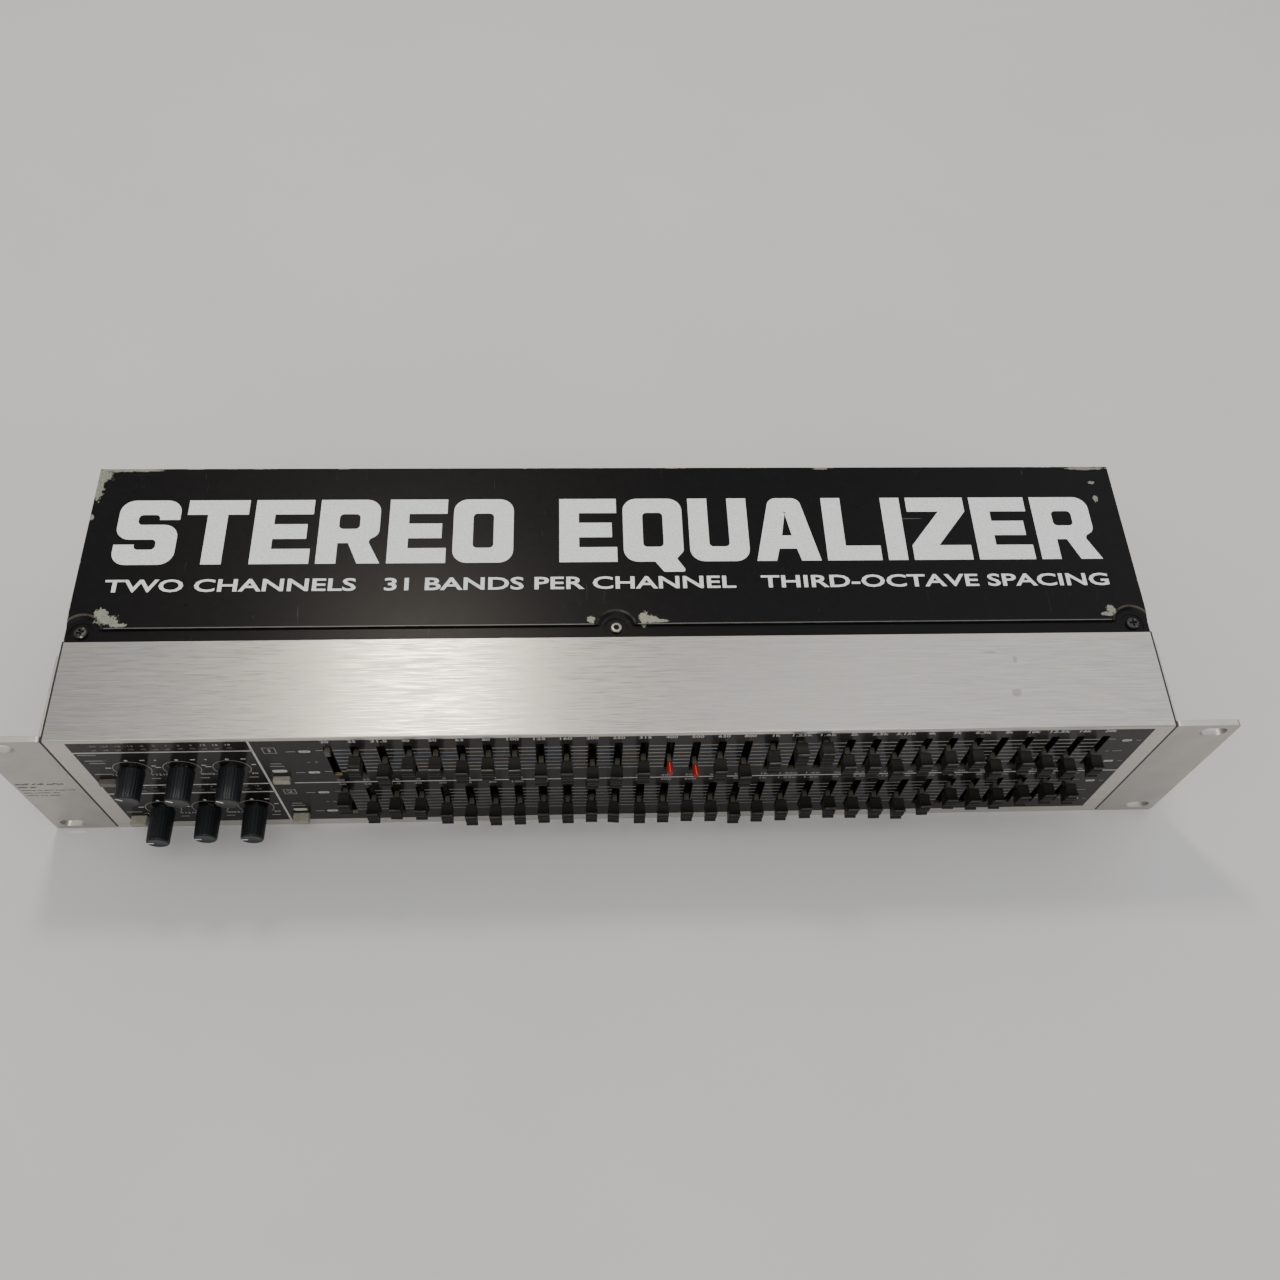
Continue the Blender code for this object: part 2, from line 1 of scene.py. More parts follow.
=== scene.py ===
"""How the graphic equalizer looks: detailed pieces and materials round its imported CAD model.

x runs to the right, y to the back and z up. Sizes in the tables are in millimetres. at() turns a place on
the equalizer, with y counted back from the panel's outer face, into metres in the CAD model's frame.
"""

import math
import random

import bmesh
import bpy
from mathutils import Matrix, Vector


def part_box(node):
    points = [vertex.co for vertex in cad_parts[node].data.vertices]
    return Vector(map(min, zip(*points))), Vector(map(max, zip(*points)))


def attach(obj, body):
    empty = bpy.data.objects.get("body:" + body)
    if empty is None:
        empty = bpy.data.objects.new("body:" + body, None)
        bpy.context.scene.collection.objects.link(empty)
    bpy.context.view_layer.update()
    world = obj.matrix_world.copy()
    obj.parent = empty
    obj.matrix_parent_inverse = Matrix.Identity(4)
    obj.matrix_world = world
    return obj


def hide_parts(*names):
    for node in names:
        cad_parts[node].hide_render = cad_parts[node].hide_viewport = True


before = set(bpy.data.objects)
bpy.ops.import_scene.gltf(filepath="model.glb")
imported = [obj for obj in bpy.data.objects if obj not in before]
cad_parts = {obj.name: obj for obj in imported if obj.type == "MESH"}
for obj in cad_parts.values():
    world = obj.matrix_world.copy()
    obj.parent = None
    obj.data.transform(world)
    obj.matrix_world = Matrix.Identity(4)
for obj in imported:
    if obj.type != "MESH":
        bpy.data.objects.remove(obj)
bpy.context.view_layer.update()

MM = 0.001
PANEL_LOW, PANEL_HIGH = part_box("front_panel")
FRONT = PANEL_LOW.y
HEIGHT = PANEL_HIGH.z / MM
PANEL_HALF = PANEL_HIGH.x / MM
STRIP_DEPTH = (PANEL_HIGH.y - FRONT) / MM
LID_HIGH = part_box("top_cover")[1]
SIDE = LID_HIGH.x / MM
DEPTH = (LID_HIGH.y - FRONT) / MM

# The panel's sheet and its printed field.
SIDE_GAP = 0.35
SHEET = 1.5
FOLD_RADIUS = 0.7
INK = 0.03
FIELD = (-207.5, 207.8, 5.8, 86.0)
DIVIDER_X = -140.6
LINE = 0.9
SLOT = (3.0, 27.0)
SLOT_Z = (66.3, 25.8)

# The lid: its front edge, the step behind it, the lowered edge's height, and each screw's dish.
LID_FRONT = 42.5
LID_STEP = 48.0
LID_LOW_TOP = 86.9
LID_SHEET = 1.2
WALL_START = 26.0
WALL_FOOT = 2.0
DISH = 8.3
DISH_FLOOR = 6.3
DISH_RING = 4.7
DISH_WELL = 0.45

# The bands, the first band of each of channel 2's banks, and channel 1's sliders that have lost their caps.
BANDS = ("20", "25", "31_5", "40", "50", "63", "80", "100", "125", "160", "200", "250", "315", "400",
         "500", "630", "800", "1k", "1k25", "1k6", "2k", "2k5", "3k15", "4k", "5k", "6k3", "8k", "10k",
         "12k5", "16k", "20k")
BANKS = (0, 5, 12, 18, 24, 31)
BARE = {"20": "stub", "400": "red", "500": "red"}
LID_SCREWS = ("left", "middle", "right")


def at(x, y, z):
    return Vector((x * MM, FRONT + y * MM, z * MM))


def centre(node):
    low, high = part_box(node)
    return (low + high) / 2


def move(place):
    return Matrix.Translation(place)


def spin(axis, degrees):
    return Matrix.Rotation(math.radians(degrees), 4, axis)


BAND_X = [centre(f"ch1_fader_{band}hz").x / MM for band in BANDS]
BAND_PITCH = BAND_X[1] - BAND_X[0]


def bank_node(number):
    return f"ch2_faders_{BANDS[BANKS[number]]}_to_{BANDS[BANKS[number + 1] - 1]}hz"


def bank_slider_z(node, x):
    """The height of the middle of a bank's cap at x, read from the CAD bank's front faces."""
    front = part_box(node)[0].y
    heights = [vertex.co.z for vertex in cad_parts[node].data.vertices
               if abs(vertex.co.x - x * MM) < 0.4 * BAND_PITCH * MM and vertex.co.y - front < 0.1 * MM]
    return (min(heights) + max(heights)) / 2 / MM


# ---------------------------------------------------------------- materials


class Paint:
    """A material under construction: its node tree and its Principled shader."""

    def __init__(self, name, colour, roughness, metallic=0.0, **sockets):
        self.material = bpy.data.materials.new(name)
        self.material.use_nodes = True
        self.tree = self.material.node_tree
        self.shader = self.tree.nodes["Principled BSDF"]
        self.set("Base Color", colour)
        self.set("Roughness", roughness)
        self.set("Metallic", metallic)
        for socket, value in sockets.items():
            self.set(socket.replace("_", " "), value)
        self.place = self.node("ShaderNodeTexCoord").outputs["Object"]

    def set(self, socket, value):
        if isinstance(value, tuple) and len(value) == 3:
            value = (*value, 1.0)
        self.shader.inputs[socket].default_value = value

    def node(self, kind, **inputs):
        made = self.tree.nodes.new(kind)
        for name, value in inputs.items():
            self.feed(made.inputs[name.replace("_", " ")], value)
        return made

    def feed(self, socket, value):
        if isinstance(value, bpy.types.NodeSocket):
            self.tree.links.new(value, socket)
        elif isinstance(value, tuple) and len(value) == 3 and len(socket.default_value) == 4:
            socket.default_value = (*value, 1.0)
        else:
            socket.default_value = value

    def math(self, operation, first, second=0.0):
        made = self.tree.nodes.new("ShaderNodeMath")
        made.operation = operation
        self.feed(made.inputs[0], first)
        self.feed(made.inputs[1], second)
        return made.outputs[0]

    def plus(self, first, second):
        return self.math("ADD", first, second)

    def minus(self, first, second):
        return self.math("SUBTRACT", first, second)

    def times(self, first, second):
        return self.math("MULTIPLY", first, second)

    def larger(self, first, second):
        return self.math("MAXIMUM", first, second)

    def above(self, value, limit):
        """1 where value is above limit, 0 elsewhere."""
        return self.math("GREATER_THAN", value, limit)

    def below(self, value, limit):
        """1 where value is below limit, 0 elsewhere."""
        return self.math("LESS_THAN", value, limit)

    def axis(self, name):
        """One coordinate of the surface, in metres."""
        return self.node("ShaderNodeSeparateXYZ", Vector=self.place).outputs[name]

    def noise(self, size, stretch=(1.0, 1.0, 1.0), detail=4.0, roughness=0.55, distortion=0.0):
        """Noise whose features are about size millimetres across, longer along each axis by stretch."""
        made = self.node("ShaderNodeMapping", Vector=self.place)
        made.inputs["Scale"].default_value = [1.0 / (size * MM * factor) for factor in stretch]
        return self.node("ShaderNodeTexNoise", Vector=made.outputs[0], Scale=1.0, Detail=detail,
                         Roughness=roughness, Distortion=distortion).outputs["Fac"]

    def spread(self, value, low, high, out_low=0.0, out_high=1.0):
        """Maps value from low..high to out_low..out_high, with both ends held."""
        return self.node("ShaderNodeMapRange", Value=value, From_Min=low, From_Max=high, To_Min=out_low,
                         To_Max=out_high).outputs[0]

    def mix(self, share, first, second):
        made = self.tree.nodes.new("ShaderNodeMix")
        made.data_type = "RGBA"
        colours = [socket for socket in made.inputs if socket.type == "RGBA"]
        self.feed(made.inputs[0], share)
        self.feed(colours[0], first)
        self.feed(colours[1], second)
        return next(socket for socket in made.outputs if socket.type == "RGBA")

    def drive(self, socket, value):
        self.feed(self.shader.inputs[socket], value)

    def bump(self, height, depth):
        """Raises the surface by height times depth millimetres."""
        made = self.node("ShaderNodeBump", Height=height, Distance=depth * MM, Strength=1.0)
        before = self.shader.inputs["Normal"]
        if before.is_linked:
            self.feed(made.inputs["Normal"], before.links[0].from_socket)
        self.drive("Normal", made.outputs[0])

    def facing_up(self):
        """The normal's share along z: 1 on faces turned up, -1 on faces turned down."""
        normal = self.tree.nodes.new("ShaderNodeNewGeometry").outputs["Normal"]
        return self.node("ShaderNodeSeparateXYZ", Vector=normal).outputs["Z"]

    def ragged(self, size):
        """Noise from about 0 to 1, torn at two scales, the finer one in short strokes along y."""
        torn = self.noise(size, detail=6.0, roughness=0.68)
        strokes = self.noise(size * 0.22, stretch=(1.0, 3.0, 1.0), detail=3.0)
        return self.spread(self.plus(self.times(torn, 0.62), self.times(strokes, 0.38)), 0.32, 0.68)

    def spot(self, x, y, half_x, half_y, ragged, noise):
        """1 inside a ragged-edged ellipse seen from above, whatever the height, 0 outside."""
        squares = []
        for axis, middle, half in (("X", x * MM, half_x * MM), ("Y", FRONT + y * MM, half_y * MM)):
            away = self.math("DIVIDE", self.minus(self.axis(axis), middle), half)
            squares.append(self.math("POWER", self.math("ABSOLUTE", away), 2.0))
        radius = self.math("SQRT", self.plus(*squares))
        edge = self.plus(radius, self.times(self.minus(noise, 0.5), ragged))
        return self.spread(edge, 0.97, 1.03, 1.0, 0.0)

    def spots(self, places, noise):
        """1 inside any of several spots, 0 outside."""
        total = self.spot(*places[0], noise)
        for place in places[1:]:
            total = self.larger(total, self.spot(*place, noise))
        return total

    def between(self, axis, low, high):
        """1 where a coordinate lies between two heights in millimetres, 0 elsewhere."""
        return self.times(self.above(self.axis(axis), low * MM), self.below(self.axis(axis), high * MM))


# Dull smudges on the silver strip: x, y back from the panel, half width, half depth and raggedness.
SMUDGES = ((155.0, 15.5, 2.0, 1.7, 1.0), (157.0, 30.0, 0.9, 1.5, 1.0), (147.5, 33.6, 2.8, 0.35, 0.8))
# How far behind the panel's outer face its ink ends.
FACE_DEPTH = 0.09
# Brass lower slot edges, darkened by painted shade on all but the first slot. The change is between these x.
BRIGHT_EDGE = (-109.0, -106.0)


def brushed_panel():
    """Brushed aluminium and its dark printed field, with painted light on its face and painted shade in its
    slots.
    """
    paint = Paint("brushed_panel", (0.46, 0.44, 0.41), 0.36, 1.0, Anisotropic=0.82)
    fine = paint.noise(0.26, stretch=(45.0, 1.0, 1.0), detail=1.5, roughness=0.5)
    broad = paint.noise(0.8, stretch=(60.0, 1.0, 1.0), detail=2.0, roughness=0.5)
    lines = paint.plus(paint.times(fine, 0.6), paint.times(broad, 0.4))
    silver = paint.mix(paint.spread(lines, 0.36, 0.64), (0.425, 0.403, 0.368), (0.530, 0.506, 0.466))
    tint = paint.noise(0.34, stretch=(36.0, 1.0, 1.0), detail=1.0)
    tinted = paint.mix(paint.spread(tint, 0.40, 0.60), (0.43, 0.450, 0.475), (0.565, 0.50, 0.385))
    silver = paint.mix(0.32, silver, tinted)
    cloud = paint.noise(38.0, detail=3.0)
    silver = paint.mix(paint.spread(cloud, 0.35, 0.65, 0.0, 0.10), silver, (0.41, 0.39, 0.37))
    smudges = paint.spots(SMUDGES, paint.ragged(1.3))
    silver = paint.mix(paint.times(smudges, 0.40), silver, (0.17, 0.14, 0.12))

    x_low, x_high, z_low, z_high = FIELD
    depth = paint.minus(paint.axis("Y"), FRONT)
    on_face = paint.below(depth, FACE_DEPTH * MM)
    behind = paint.above(depth, FACE_DEPTH * MM)
    inside = paint.times(paint.between("X", x_low, x_high), paint.between("Z", z_low, z_high))
    in_field = paint.times(on_face, inside)
    in_slot = paint.times(behind, paint.below(paint.axis("Z"), z_high * MM))
    cut_edge = paint.times(in_slot, paint.above(paint.facing_up(), 0.5))
    # Painted light: the front face is lightened towards pale silver, brighter than the top strip.
    silver = paint.mix(paint.times(on_face, 0.45), silver, (0.72, 0.69, 0.64))
    # Painted shade: the slots' walls behind the face are painted near black.
    silver = paint.mix(in_slot, silver, (0.010, 0.009, 0.008))
    # Painted shade: the brass lower edges are darkened on every slot but the first band's.
    shaded_edge = paint.spread(paint.axis("X"), BRIGHT_EDGE[0] * MM, BRIGHT_EDGE[1] * MM)
    brass = paint.mix(shaded_edge, (0.36, 0.30, 0.17), (0.11, 0.092, 0.055))
    silver = paint.mix(cut_edge, silver, brass)

    grain = paint.noise(0.35, detail=3.0)
    speckle = paint.spread(grain, 0.3, 0.7)
    # Painted shade and light: the field's ink is darker towards its foot and lighter towards its top.
    shaded_ink = paint.mix(speckle, (0.0022, 0.0015, 0.0012), (0.0048, 0.0036, 0.0030))
    dust_and_light = paint.mix(speckle, (0.0150, 0.0135, 0.0125), (0.0215, 0.0195, 0.0180))
    field_ink = paint.mix(paint.spread(paint.axis("Z"), 24.0 * MM, 80.0 * MM), shaded_ink, dust_and_light)
    paint.drive("Base Color", paint.mix(in_field, silver, field_ink))
    paint.set("Specular IOR Level", 0.15)
    # Neither the field's ink nor the slots' painted shade is metal.
    ink_and_shade = paint.larger(in_field, paint.minus(in_slot, cut_edge))
    paint.drive("Metallic", paint.minus(1.0, ink_and_shade))
    glints = paint.noise(0.28, stretch=(40.0, 1.0, 1.0), detail=1.5, roughness=0.5)
    brushed = paint.spread(glints, 0.34, 0.66, 0.26, 0.45)
    field_rough = paint.spread(grain, 0.3, 0.7, 0.19, 0.23)
    bare = paint.minus(1.0, in_field)
    paint.drive("Roughness", paint.plus(paint.times(brushed, bare), paint.times(field_rough, in_field)))
    paint.bump(paint.times(lines, bare), 0.0010)
    tangent = paint.tree.nodes.new("ShaderNodeTangent")
    tangent.direction_type = "RADIAL"
    tangent.axis = "X"
    paint.drive("Tangent", tangent.outputs[0])
    return paint.material


def satin_ear():
    """The smooth, fine-blasted aluminium of the rack ears."""
    paint = Paint("satin_ear", (0.42, 0.405, 0.38), 0.42, 1.0)
    grain = paint.noise(0.22, detail=2.0)
    cloud = paint.noise(14.0, detail=3.0)
    tone = paint.mix(paint.spread(cloud, 0.35, 0.65), (0.42, 0.405, 0.377), (0.51, 0.495, 0.46))
    bright = paint.spread(grain, 0.35, 0.65, 0.0, 0.3)
    paint.drive("Base Color", paint.mix(bright, tone, (0.58, 0.56, 0.525)))
    paint.drive("Roughness", paint.spread(cloud, 0.3, 0.7, 0.38, 0.50))
    paint.bump(grain, 0.006)
    return paint.material


def ink(name, colour, roughness=0.5, metallic=0.0):
    """Screen-printed ink, metal left bare between it, or a painted highlight, with a little unevenness."""
    paint = Paint(name, colour, roughness, metallic)
    uneven = paint.noise(0.8, detail=4.0)
    darker = tuple(channel * 0.72 for channel in colour)
    paint.drive("Base Color", paint.mix(paint.spread(uneven, 0.3, 0.7), darker, colour))
    paint.drive("Roughness", paint.spread(uneven, 0.3, 0.7, roughness - 0.08, roughness + 0.08))
    return paint.material


def tick_ink():
    """The grey scale lines: the upper ones lean towards blue and brown from band to band."""
    paint = Paint("tick_ink", (0.20, 0.20, 0.20), 0.5)
    patch = paint.noise(7.0, stretch=(1.2, 1.0, 0.9), detail=1.0)
    plain = (0.245, 0.240, 0.232)
    cool = paint.mix(paint.spread(patch, 0.40, 0.48), (0.150, 0.190, 0.245), plain)
    warm = paint.mix(paint.spread(patch, 0.53, 0.60), cool, (0.265, 0.215, 0.150))
    tinted = paint.mix(paint.spread(paint.axis("X"), 0.05, 0.11), warm, plain)
    lower = paint.below(paint.axis("Z"), (FIELD[2] + FIELD[3]) / 2 * MM)
    paint.drive("Base Color", paint.mix(paint.times(lower, 0.92), tinted, (0.165, 0.158, 0.150)))
    paint.drive("Roughness", paint.spread(patch, 0.3, 0.7, 0.4, 0.55))
    return paint.material


# Paint worn off the lid: x, y back from the panel, half width, half depth and raggedness.
CHIPS = (
    (-214.6, 122.0, 4.6, 3.4, 1.0), (-214.9, 114.5, 2.2, 5.5, 1.2), (-203.0, 125.0, 13.0, 0.9, 1.2),
    (-215.0, 101.0, 0.9, 1.4, 0.8), (-200.6, 52.0, 4.4, 2.0, 1.4), (-203.3, 55.0, 2.6, 2.2, 1.3),
    (-196.0, 49.6, 3.2, 0.9, 1.2), (-11.2, 50.5, 1.5, 1.7, 1.4), (10.0, 50.8, 1.9, 2.9, 1.3),
    (12.9, 50.2, 3.2, 1.9, 1.3), (17.0, 49.5, 3.0, 0.8, 1.0), (201.2, 53.0, 1.9, 2.0, 1.0),
    (199.3, 51.0, 2.5, 1.0, 0.9), (206.0, 124.8, 9.0, 0.8, 1.3), (207.0, 117.0, 1.4, 0.8, 1.1),
    (207.0, 108.6, 1.0, 1.5, 1.2), (89.0, 125.0, 3.0, 0.6, 1.1),
)
LONG_SCRATCH = (123.5, 98.5, 6.2, 0.28, 0.3)
# How wide the lid's rubbed edges are.
RUBBED_EDGE = 0.35


def lid_paint():
    """Black paint over grey-green steel: chips, worn edges, hair scratches, dust and a painted highlight on
    its folds.
    """
    paint = Paint("lid_paint", (0.0085, 0.0078, 0.0080), 0.30)
    paint.set("Specular IOR Level", 0.085)
    ragged = paint.ragged(1.9)
    chips = paint.spots(CHIPS, ragged)
    speckle = paint.noise(0.5, detail=3.0)
    top = paint.above(paint.axis("Z"), (HEIGHT - 3.0) * MM)
    beside = paint.above(paint.math("ABSOLUTE", paint.axis("X")), (SIDE - RUBBED_EDGE) * MM)
    at_back = paint.above(paint.axis("Y"), FRONT + (DEPTH - RUBBED_EDGE) * MM)
    edge = paint.times(top, paint.larger(beside, at_back))
    patches = paint.noise(7.0, detail=5.0, roughness=0.65)
    wear_and_highlight = paint.times(edge, paint.spread(patches, 0.56, 0.62))
    bare = paint.larger(chips, wear_and_highlight)
    steel = paint.mix(paint.spread(speckle, 0.35, 0.65), (0.155, 0.160, 0.130), (0.30, 0.305, 0.255))
    dust = paint.noise(3.0, detail=6.0, roughness=0.7)
    dust_and_light = paint.spread(dust, 0.45, 0.80, 0.0, 0.4)
    black = paint.mix(dust_and_light, (0.0062, 0.0056, 0.0058), (0.0105, 0.0100, 0.0102))
    hair = paint.noise(0.9, stretch=(1.0, 14.0, 1.0), detail=2.0, distortion=1.5)
    hairs = paint.times(paint.spread(hair, 0.735, 0.76), 0.22)
    long_scratch = paint.times(paint.spot(*LONG_SCRATCH, ragged), 0.5)
    black = paint.mix(paint.larger(hairs, long_scratch), black, (0.12, 0.12, 0.115))
    # Painted highlight: a brownish sheen in patches on the bevelled folds at the top and at the lowered edge.
    highlight_patches = paint.spread(patches, 0.40, 0.56, 0.10, 1.0)
    fold_highlight = paint.larger(paint.between("Z", HEIGHT - 0.44, HEIGHT - 0.005),
                         paint.between("Z", LID_LOW_TOP - 0.26, LID_LOW_TOP - 0.02))
    black = paint.mix(paint.times(fold_highlight, highlight_patches), black, (0.070, 0.060, 0.050))
    paint.drive("Base Color", paint.mix(bare, black, steel))
    paint.drive("Metallic", paint.times(bare, 0.35))
    paint.drive("Roughness", paint.plus(paint.spread(dust, 0.3, 0.7, 0.27, 0.31), paint.times(bare, 0.2)))
    paint.bump(paint.noise(0.6, detail=3.0), 0.004)
    paint.bump(paint.minus(1.0, bare), 0.06)
    return paint.material


def dark_steel(name, colour, roughness, worn):
    """Painted or blackened steel with its high spots rubbed."""
    paint = Paint(name, colour, roughness, 0.4)
    rub = paint.spread(paint.noise(1.6, detail=5.0, roughness=0.7), 1.0 - worn, 1.06 - worn)
    grain = paint.noise(0.3, detail=3.0)
    base = paint.mix(paint.spread(grain, 0.3, 0.7), colour, tuple(channel * 1.7 for channel in colour))
    paint.drive("Base Color", paint.mix(rub, base, (0.34, 0.33, 0.30)))
    paint.drive("Metallic", paint.spread(rub, 0.0, 1.0, 0.3, 1.0))
    paint.drive("Roughness", paint.spread(grain, 0.3, 0.7, roughness - 0.06, roughness + 0.08))
    paint.bump(grain, 0.008)
    return paint.material


def moulded(name, colour, roughness, dust_and_light, dust_colour=(0.085, 0.078, 0.066), gloss=0.5, top=None):
    """Moulded plastic with a fine texture and dust, and with the colour top on faces turned up, if given."""
    paint = Paint(name, colour, roughness)
    paint.set("Specular IOR Level", gloss)
    grain = paint.noise(0.25, detail=3.0)
    film = paint.spread(paint.noise(2.6, detail=5.0, roughness=0.65), 0.34, 0.72, 0.0, dust_and_light)
    base = paint.mix(paint.spread(grain, 0.3, 0.7), colour, tuple(channel * 1.45 for channel in colour))
    base = paint.mix(film, base, dust_colour)
    # Faces turned up take the colour top: dust lying there, and painted light from above.
    if top:
        base = paint.mix(paint.spread(paint.facing_up(), 0.5, 0.9, 0.0, 0.75), base, top)
    paint.drive("Base Color", base)
    paint.drive("Roughness", paint.spread(grain, 0.3, 0.7, roughness - 0.07, roughness + 0.09))
    paint.bump(grain, 0.010)
    return paint.material


def board_lacquer():
    """Black-green solder lacquer with lighter copper tracks under it."""
    paint = Paint("board_lacquer", (0.004, 0.007, 0.005), 0.45)
    tracks = paint.spread(paint.noise(2.2, stretch=(3.0, 1.0, 1.0), detail=0.0), 0.50, 0.53)
    paint.drive("Base Color", paint.mix(tracks, (0.0035, 0.0060, 0.0040), (0.0065, 0.0115, 0.0075)))
    paint.drive("Roughness", paint.spread(tracks, 0.0, 1.0, 0.42, 0.30))
    paint.bump(tracks, 0.03)
    return paint.material


def winding_tape():
    """Yellow winding tape, in lapped turns."""
    paint = Paint("winding_tape", (0.45, 0.30, 0.05), 0.5)
    laps = paint.spread(paint.noise(4.0, stretch=(1.0, 1.0, 6.0), detail=1.0), 0.4, 0.6)
    paint.drive("Base Color", paint.mix(laps, (0.33, 0.20, 0.03), (0.52, 0.36, 0.07)))
    paint.drive("Roughness", paint.spread(laps, 0.0, 1.0, 0.4, 0.6))
    paint.bump(laps, 0.05)
    return paint.material


panel_metal = brushed_panel()
ear_metal = satin_ear()
black_paint = lid_paint()
bare_line = ink("bare_line", (0.60, 0.58, 0.55), 0.40, 0.3)
white_ink = ink("white_ink", (0.80, 0.83, 0.81), 0.5)
pale_ink = ink("pale_ink", (0.52, 0.515, 0.495), 0.5)
dim_ink = ink("dim_ink", (0.25, 0.24, 0.225), 0.5)
dark_ink = ink("dark_ink", (0.030, 0.028, 0.027), 0.5)
# Painted highlight: the pale brown line along the lid's step.
step_highlight_ink = ink("step_highlight_ink", (0.105, 0.100, 0.094), 0.42)
ear_ink = ink("ear_ink", (0.085, 0.080, 0.076), 0.5)
scale_ink = tick_ink()
tray_paint = dark_steel("tray_paint", (0.014, 0.013, 0.0135), 0.42, 0.24)
black_screw = dark_steel("black_screw", (0.016, 0.015, 0.015), 0.38, 0.42)
worn_screw = dark_steel("worn_screw", (0.21, 0.20, 0.17), 0.28, 0.50)
# Its lighter brown tops are dust and painted light from above.
cap_plastic = moulded("cap_plastic", (0.0050, 0.0047, 0.0042), 0.36, 0.34, (0.022, 0.019, 0.016), gloss=0.24,
                      top=(0.015, 0.0135, 0.0105))
# Painted highlight: a pale strip along each cap's crest.
crest_highlight = moulded("crest_highlight", (0.030, 0.028, 0.025), 0.40, 0.9, (0.125, 0.120, 0.105), gloss=0.3)
lever_plastic = moulded("lever_plastic", (0.060, 0.053, 0.038), 0.50, 0.5, (0.095, 0.084, 0.062))
# Painted shade: near black for the levers inside the case and the floors of screw recesses and socket holes.
shade_black = moulded("shade_black", (0.006, 0.006, 0.006), 0.5, 0.1, (0.012, 0.011, 0.010), gloss=0.12)
knob_plastic = moulded("knob_plastic", (0.0060, 0.0072, 0.0080), 0.36, 0.08, (0.026, 0.026, 0.025),
                       gloss=0.32)
red_plastic = moulded("red_plastic", (0.20, 0.005, 0.004), 0.40, 0.12, (0.16, 0.015, 0.012), gloss=0.3)
# Painted highlight: the lighter pink rib down each red tip's middle.
red_rib_highlight = moulded("red_rib_highlight", (0.62, 0.085, 0.060), 0.36, 0.12, (0.36, 0.05, 0.035), gloss=0.35)
button_plastic = moulded("button_plastic", (0.27, 0.255, 0.205), 0.50, 0.5, (0.13, 0.120, 0.098))
# A darker tone for one of the buttons.
darker_plastic = moulded("darker_plastic", (0.115, 0.098, 0.080), 0.50, 0.5, (0.060, 0.052, 0.044))
socket_plastic = moulded("socket_plastic", (0.012, 0.012, 0.012), 0.36, 0.12)
bright_metal = dark_steel("bright_metal", (0.30, 0.29, 0.27), 0.26, 0.62)
lens_plastic = moulded("lens_plastic", (0.040, 0.028, 0.027), 0.20, 0.2, (0.08, 0.07, 0.065))
board_green = board_lacquer()
coil_tape = winding_tape()


# ---------------------------------------------------------------- meshes


def shape_of(mesh):
    """A bmesh of a mesh, and the mesh is removed."""
    made = bmesh.new()
    made.from_mesh(mesh)
    bpy.data.meshes.remove(mesh)
    return made


def add(target, solid, material=0, matrix=None):
    """Adds a copy of a solid to target, both bmeshes, with one material number or, if None, its own."""
    holder = bpy.data.meshes.new("holder")
    solid.to_mesh(holder)
    if matrix is not None:
        holder.transform(matrix)
    start = len(target.faces)
    target.from_mesh(holder)
    bpy.data.meshes.remove(holder)
    if material is not None:
        target.faces.ensure_lookup_table()
        for face in target.faces[start:]:
            face.material_index = material


def copy_of(solid, matrix):
    """A moved copy of a bmesh, with its material numbers."""
    made = bmesh.new()
    add(made, solid, None, matrix)
    return made


def linked(name, data):
    """A new object in the scene."""
    made = bpy.data.objects.new(name, data)
    bpy.context.scene.collection.objects.link(made)
    return made


def piece(name, solid, materials, stands_for=(), sharp=35.0, body="case"):
    """Turns a bmesh in the CAD model's frame into a piece that rides on a body."""
    mesh = bpy.data.meshes.new(name)
    bmesh.ops.recalc_face_normals(solid, faces=solid.faces)
    solid.to_mesh(mesh)
    solid.free()
    for material in materials:
        mesh.materials.append(material)
    mesh.shade_smooth()
    mesh.set_sharp_from_angle(angle=math.radians(sharp))
    made = linked(name, mesh)
    even_out(made)
    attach(made, body)
    if stands_for:
        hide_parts(*stands_for)


def even_out(obj):
    """Lets an object's large faces set the shading of its edges, so that flat sheets look flat."""
    normals = obj.modifiers.new("even_shading", "WEIGHTED_NORMAL")
    normals.mode = "FACE_AREA"
    normals.weight = 90
    normals.keep_sharp = True


def rounded_off(solid, bevel, segments=2):
    bmesh.ops.bevel(solid, geom=solid.edges[:], offset=bevel, segments=segments, profile=0.5,
                    affect="EDGES", clamp_overlap=True)


def box(low, high, bevel=0.0, segments=2):
    """A box between two corners in metres, with its edges rounded by bevel metres."""
    made = bmesh.new()
    size = [b - a for a, b in zip(low, high)]
    middle = [(a + b) / 2 for a, b in zip(low, high)]
    bmesh.ops.create_cube(made, size=1.0, matrix=move(middle) @ Matrix.Diagonal((*size, 1.0)))
    if bevel:
        rounded_off(made, bevel, segments)
    return made


def small_box(low, high, bevel=0.0):
    """A box between two corners in millimetres."""
    return box([value * MM for value in low], [value * MM for value in high], bevel * MM)


def turned(profile, steps=48):
    """A solid turned round the z axis from (radius, height) points in millimetres, closed on the axis."""
    made = bmesh.new()
    verts = [made.verts.new((radius * MM, 0.0, height * MM)) for radius, height in profile]
    edges = [made.edges.new(pair) for pair in zip(verts, verts[1:])]
    bmesh.ops.spin(made, geom=verts + edges, axis=(0.0, 0.0, 1.0), cent=(0.0, 0.0, 0.0), steps=steps,
                   angle=2 * math.pi, use_merge=False)
    bmesh.ops.remove_doubles(made, verts=made.verts, dist=1e-7)
    bmesh.ops.recalc_face_normals(made, faces=made.faces)
    return made


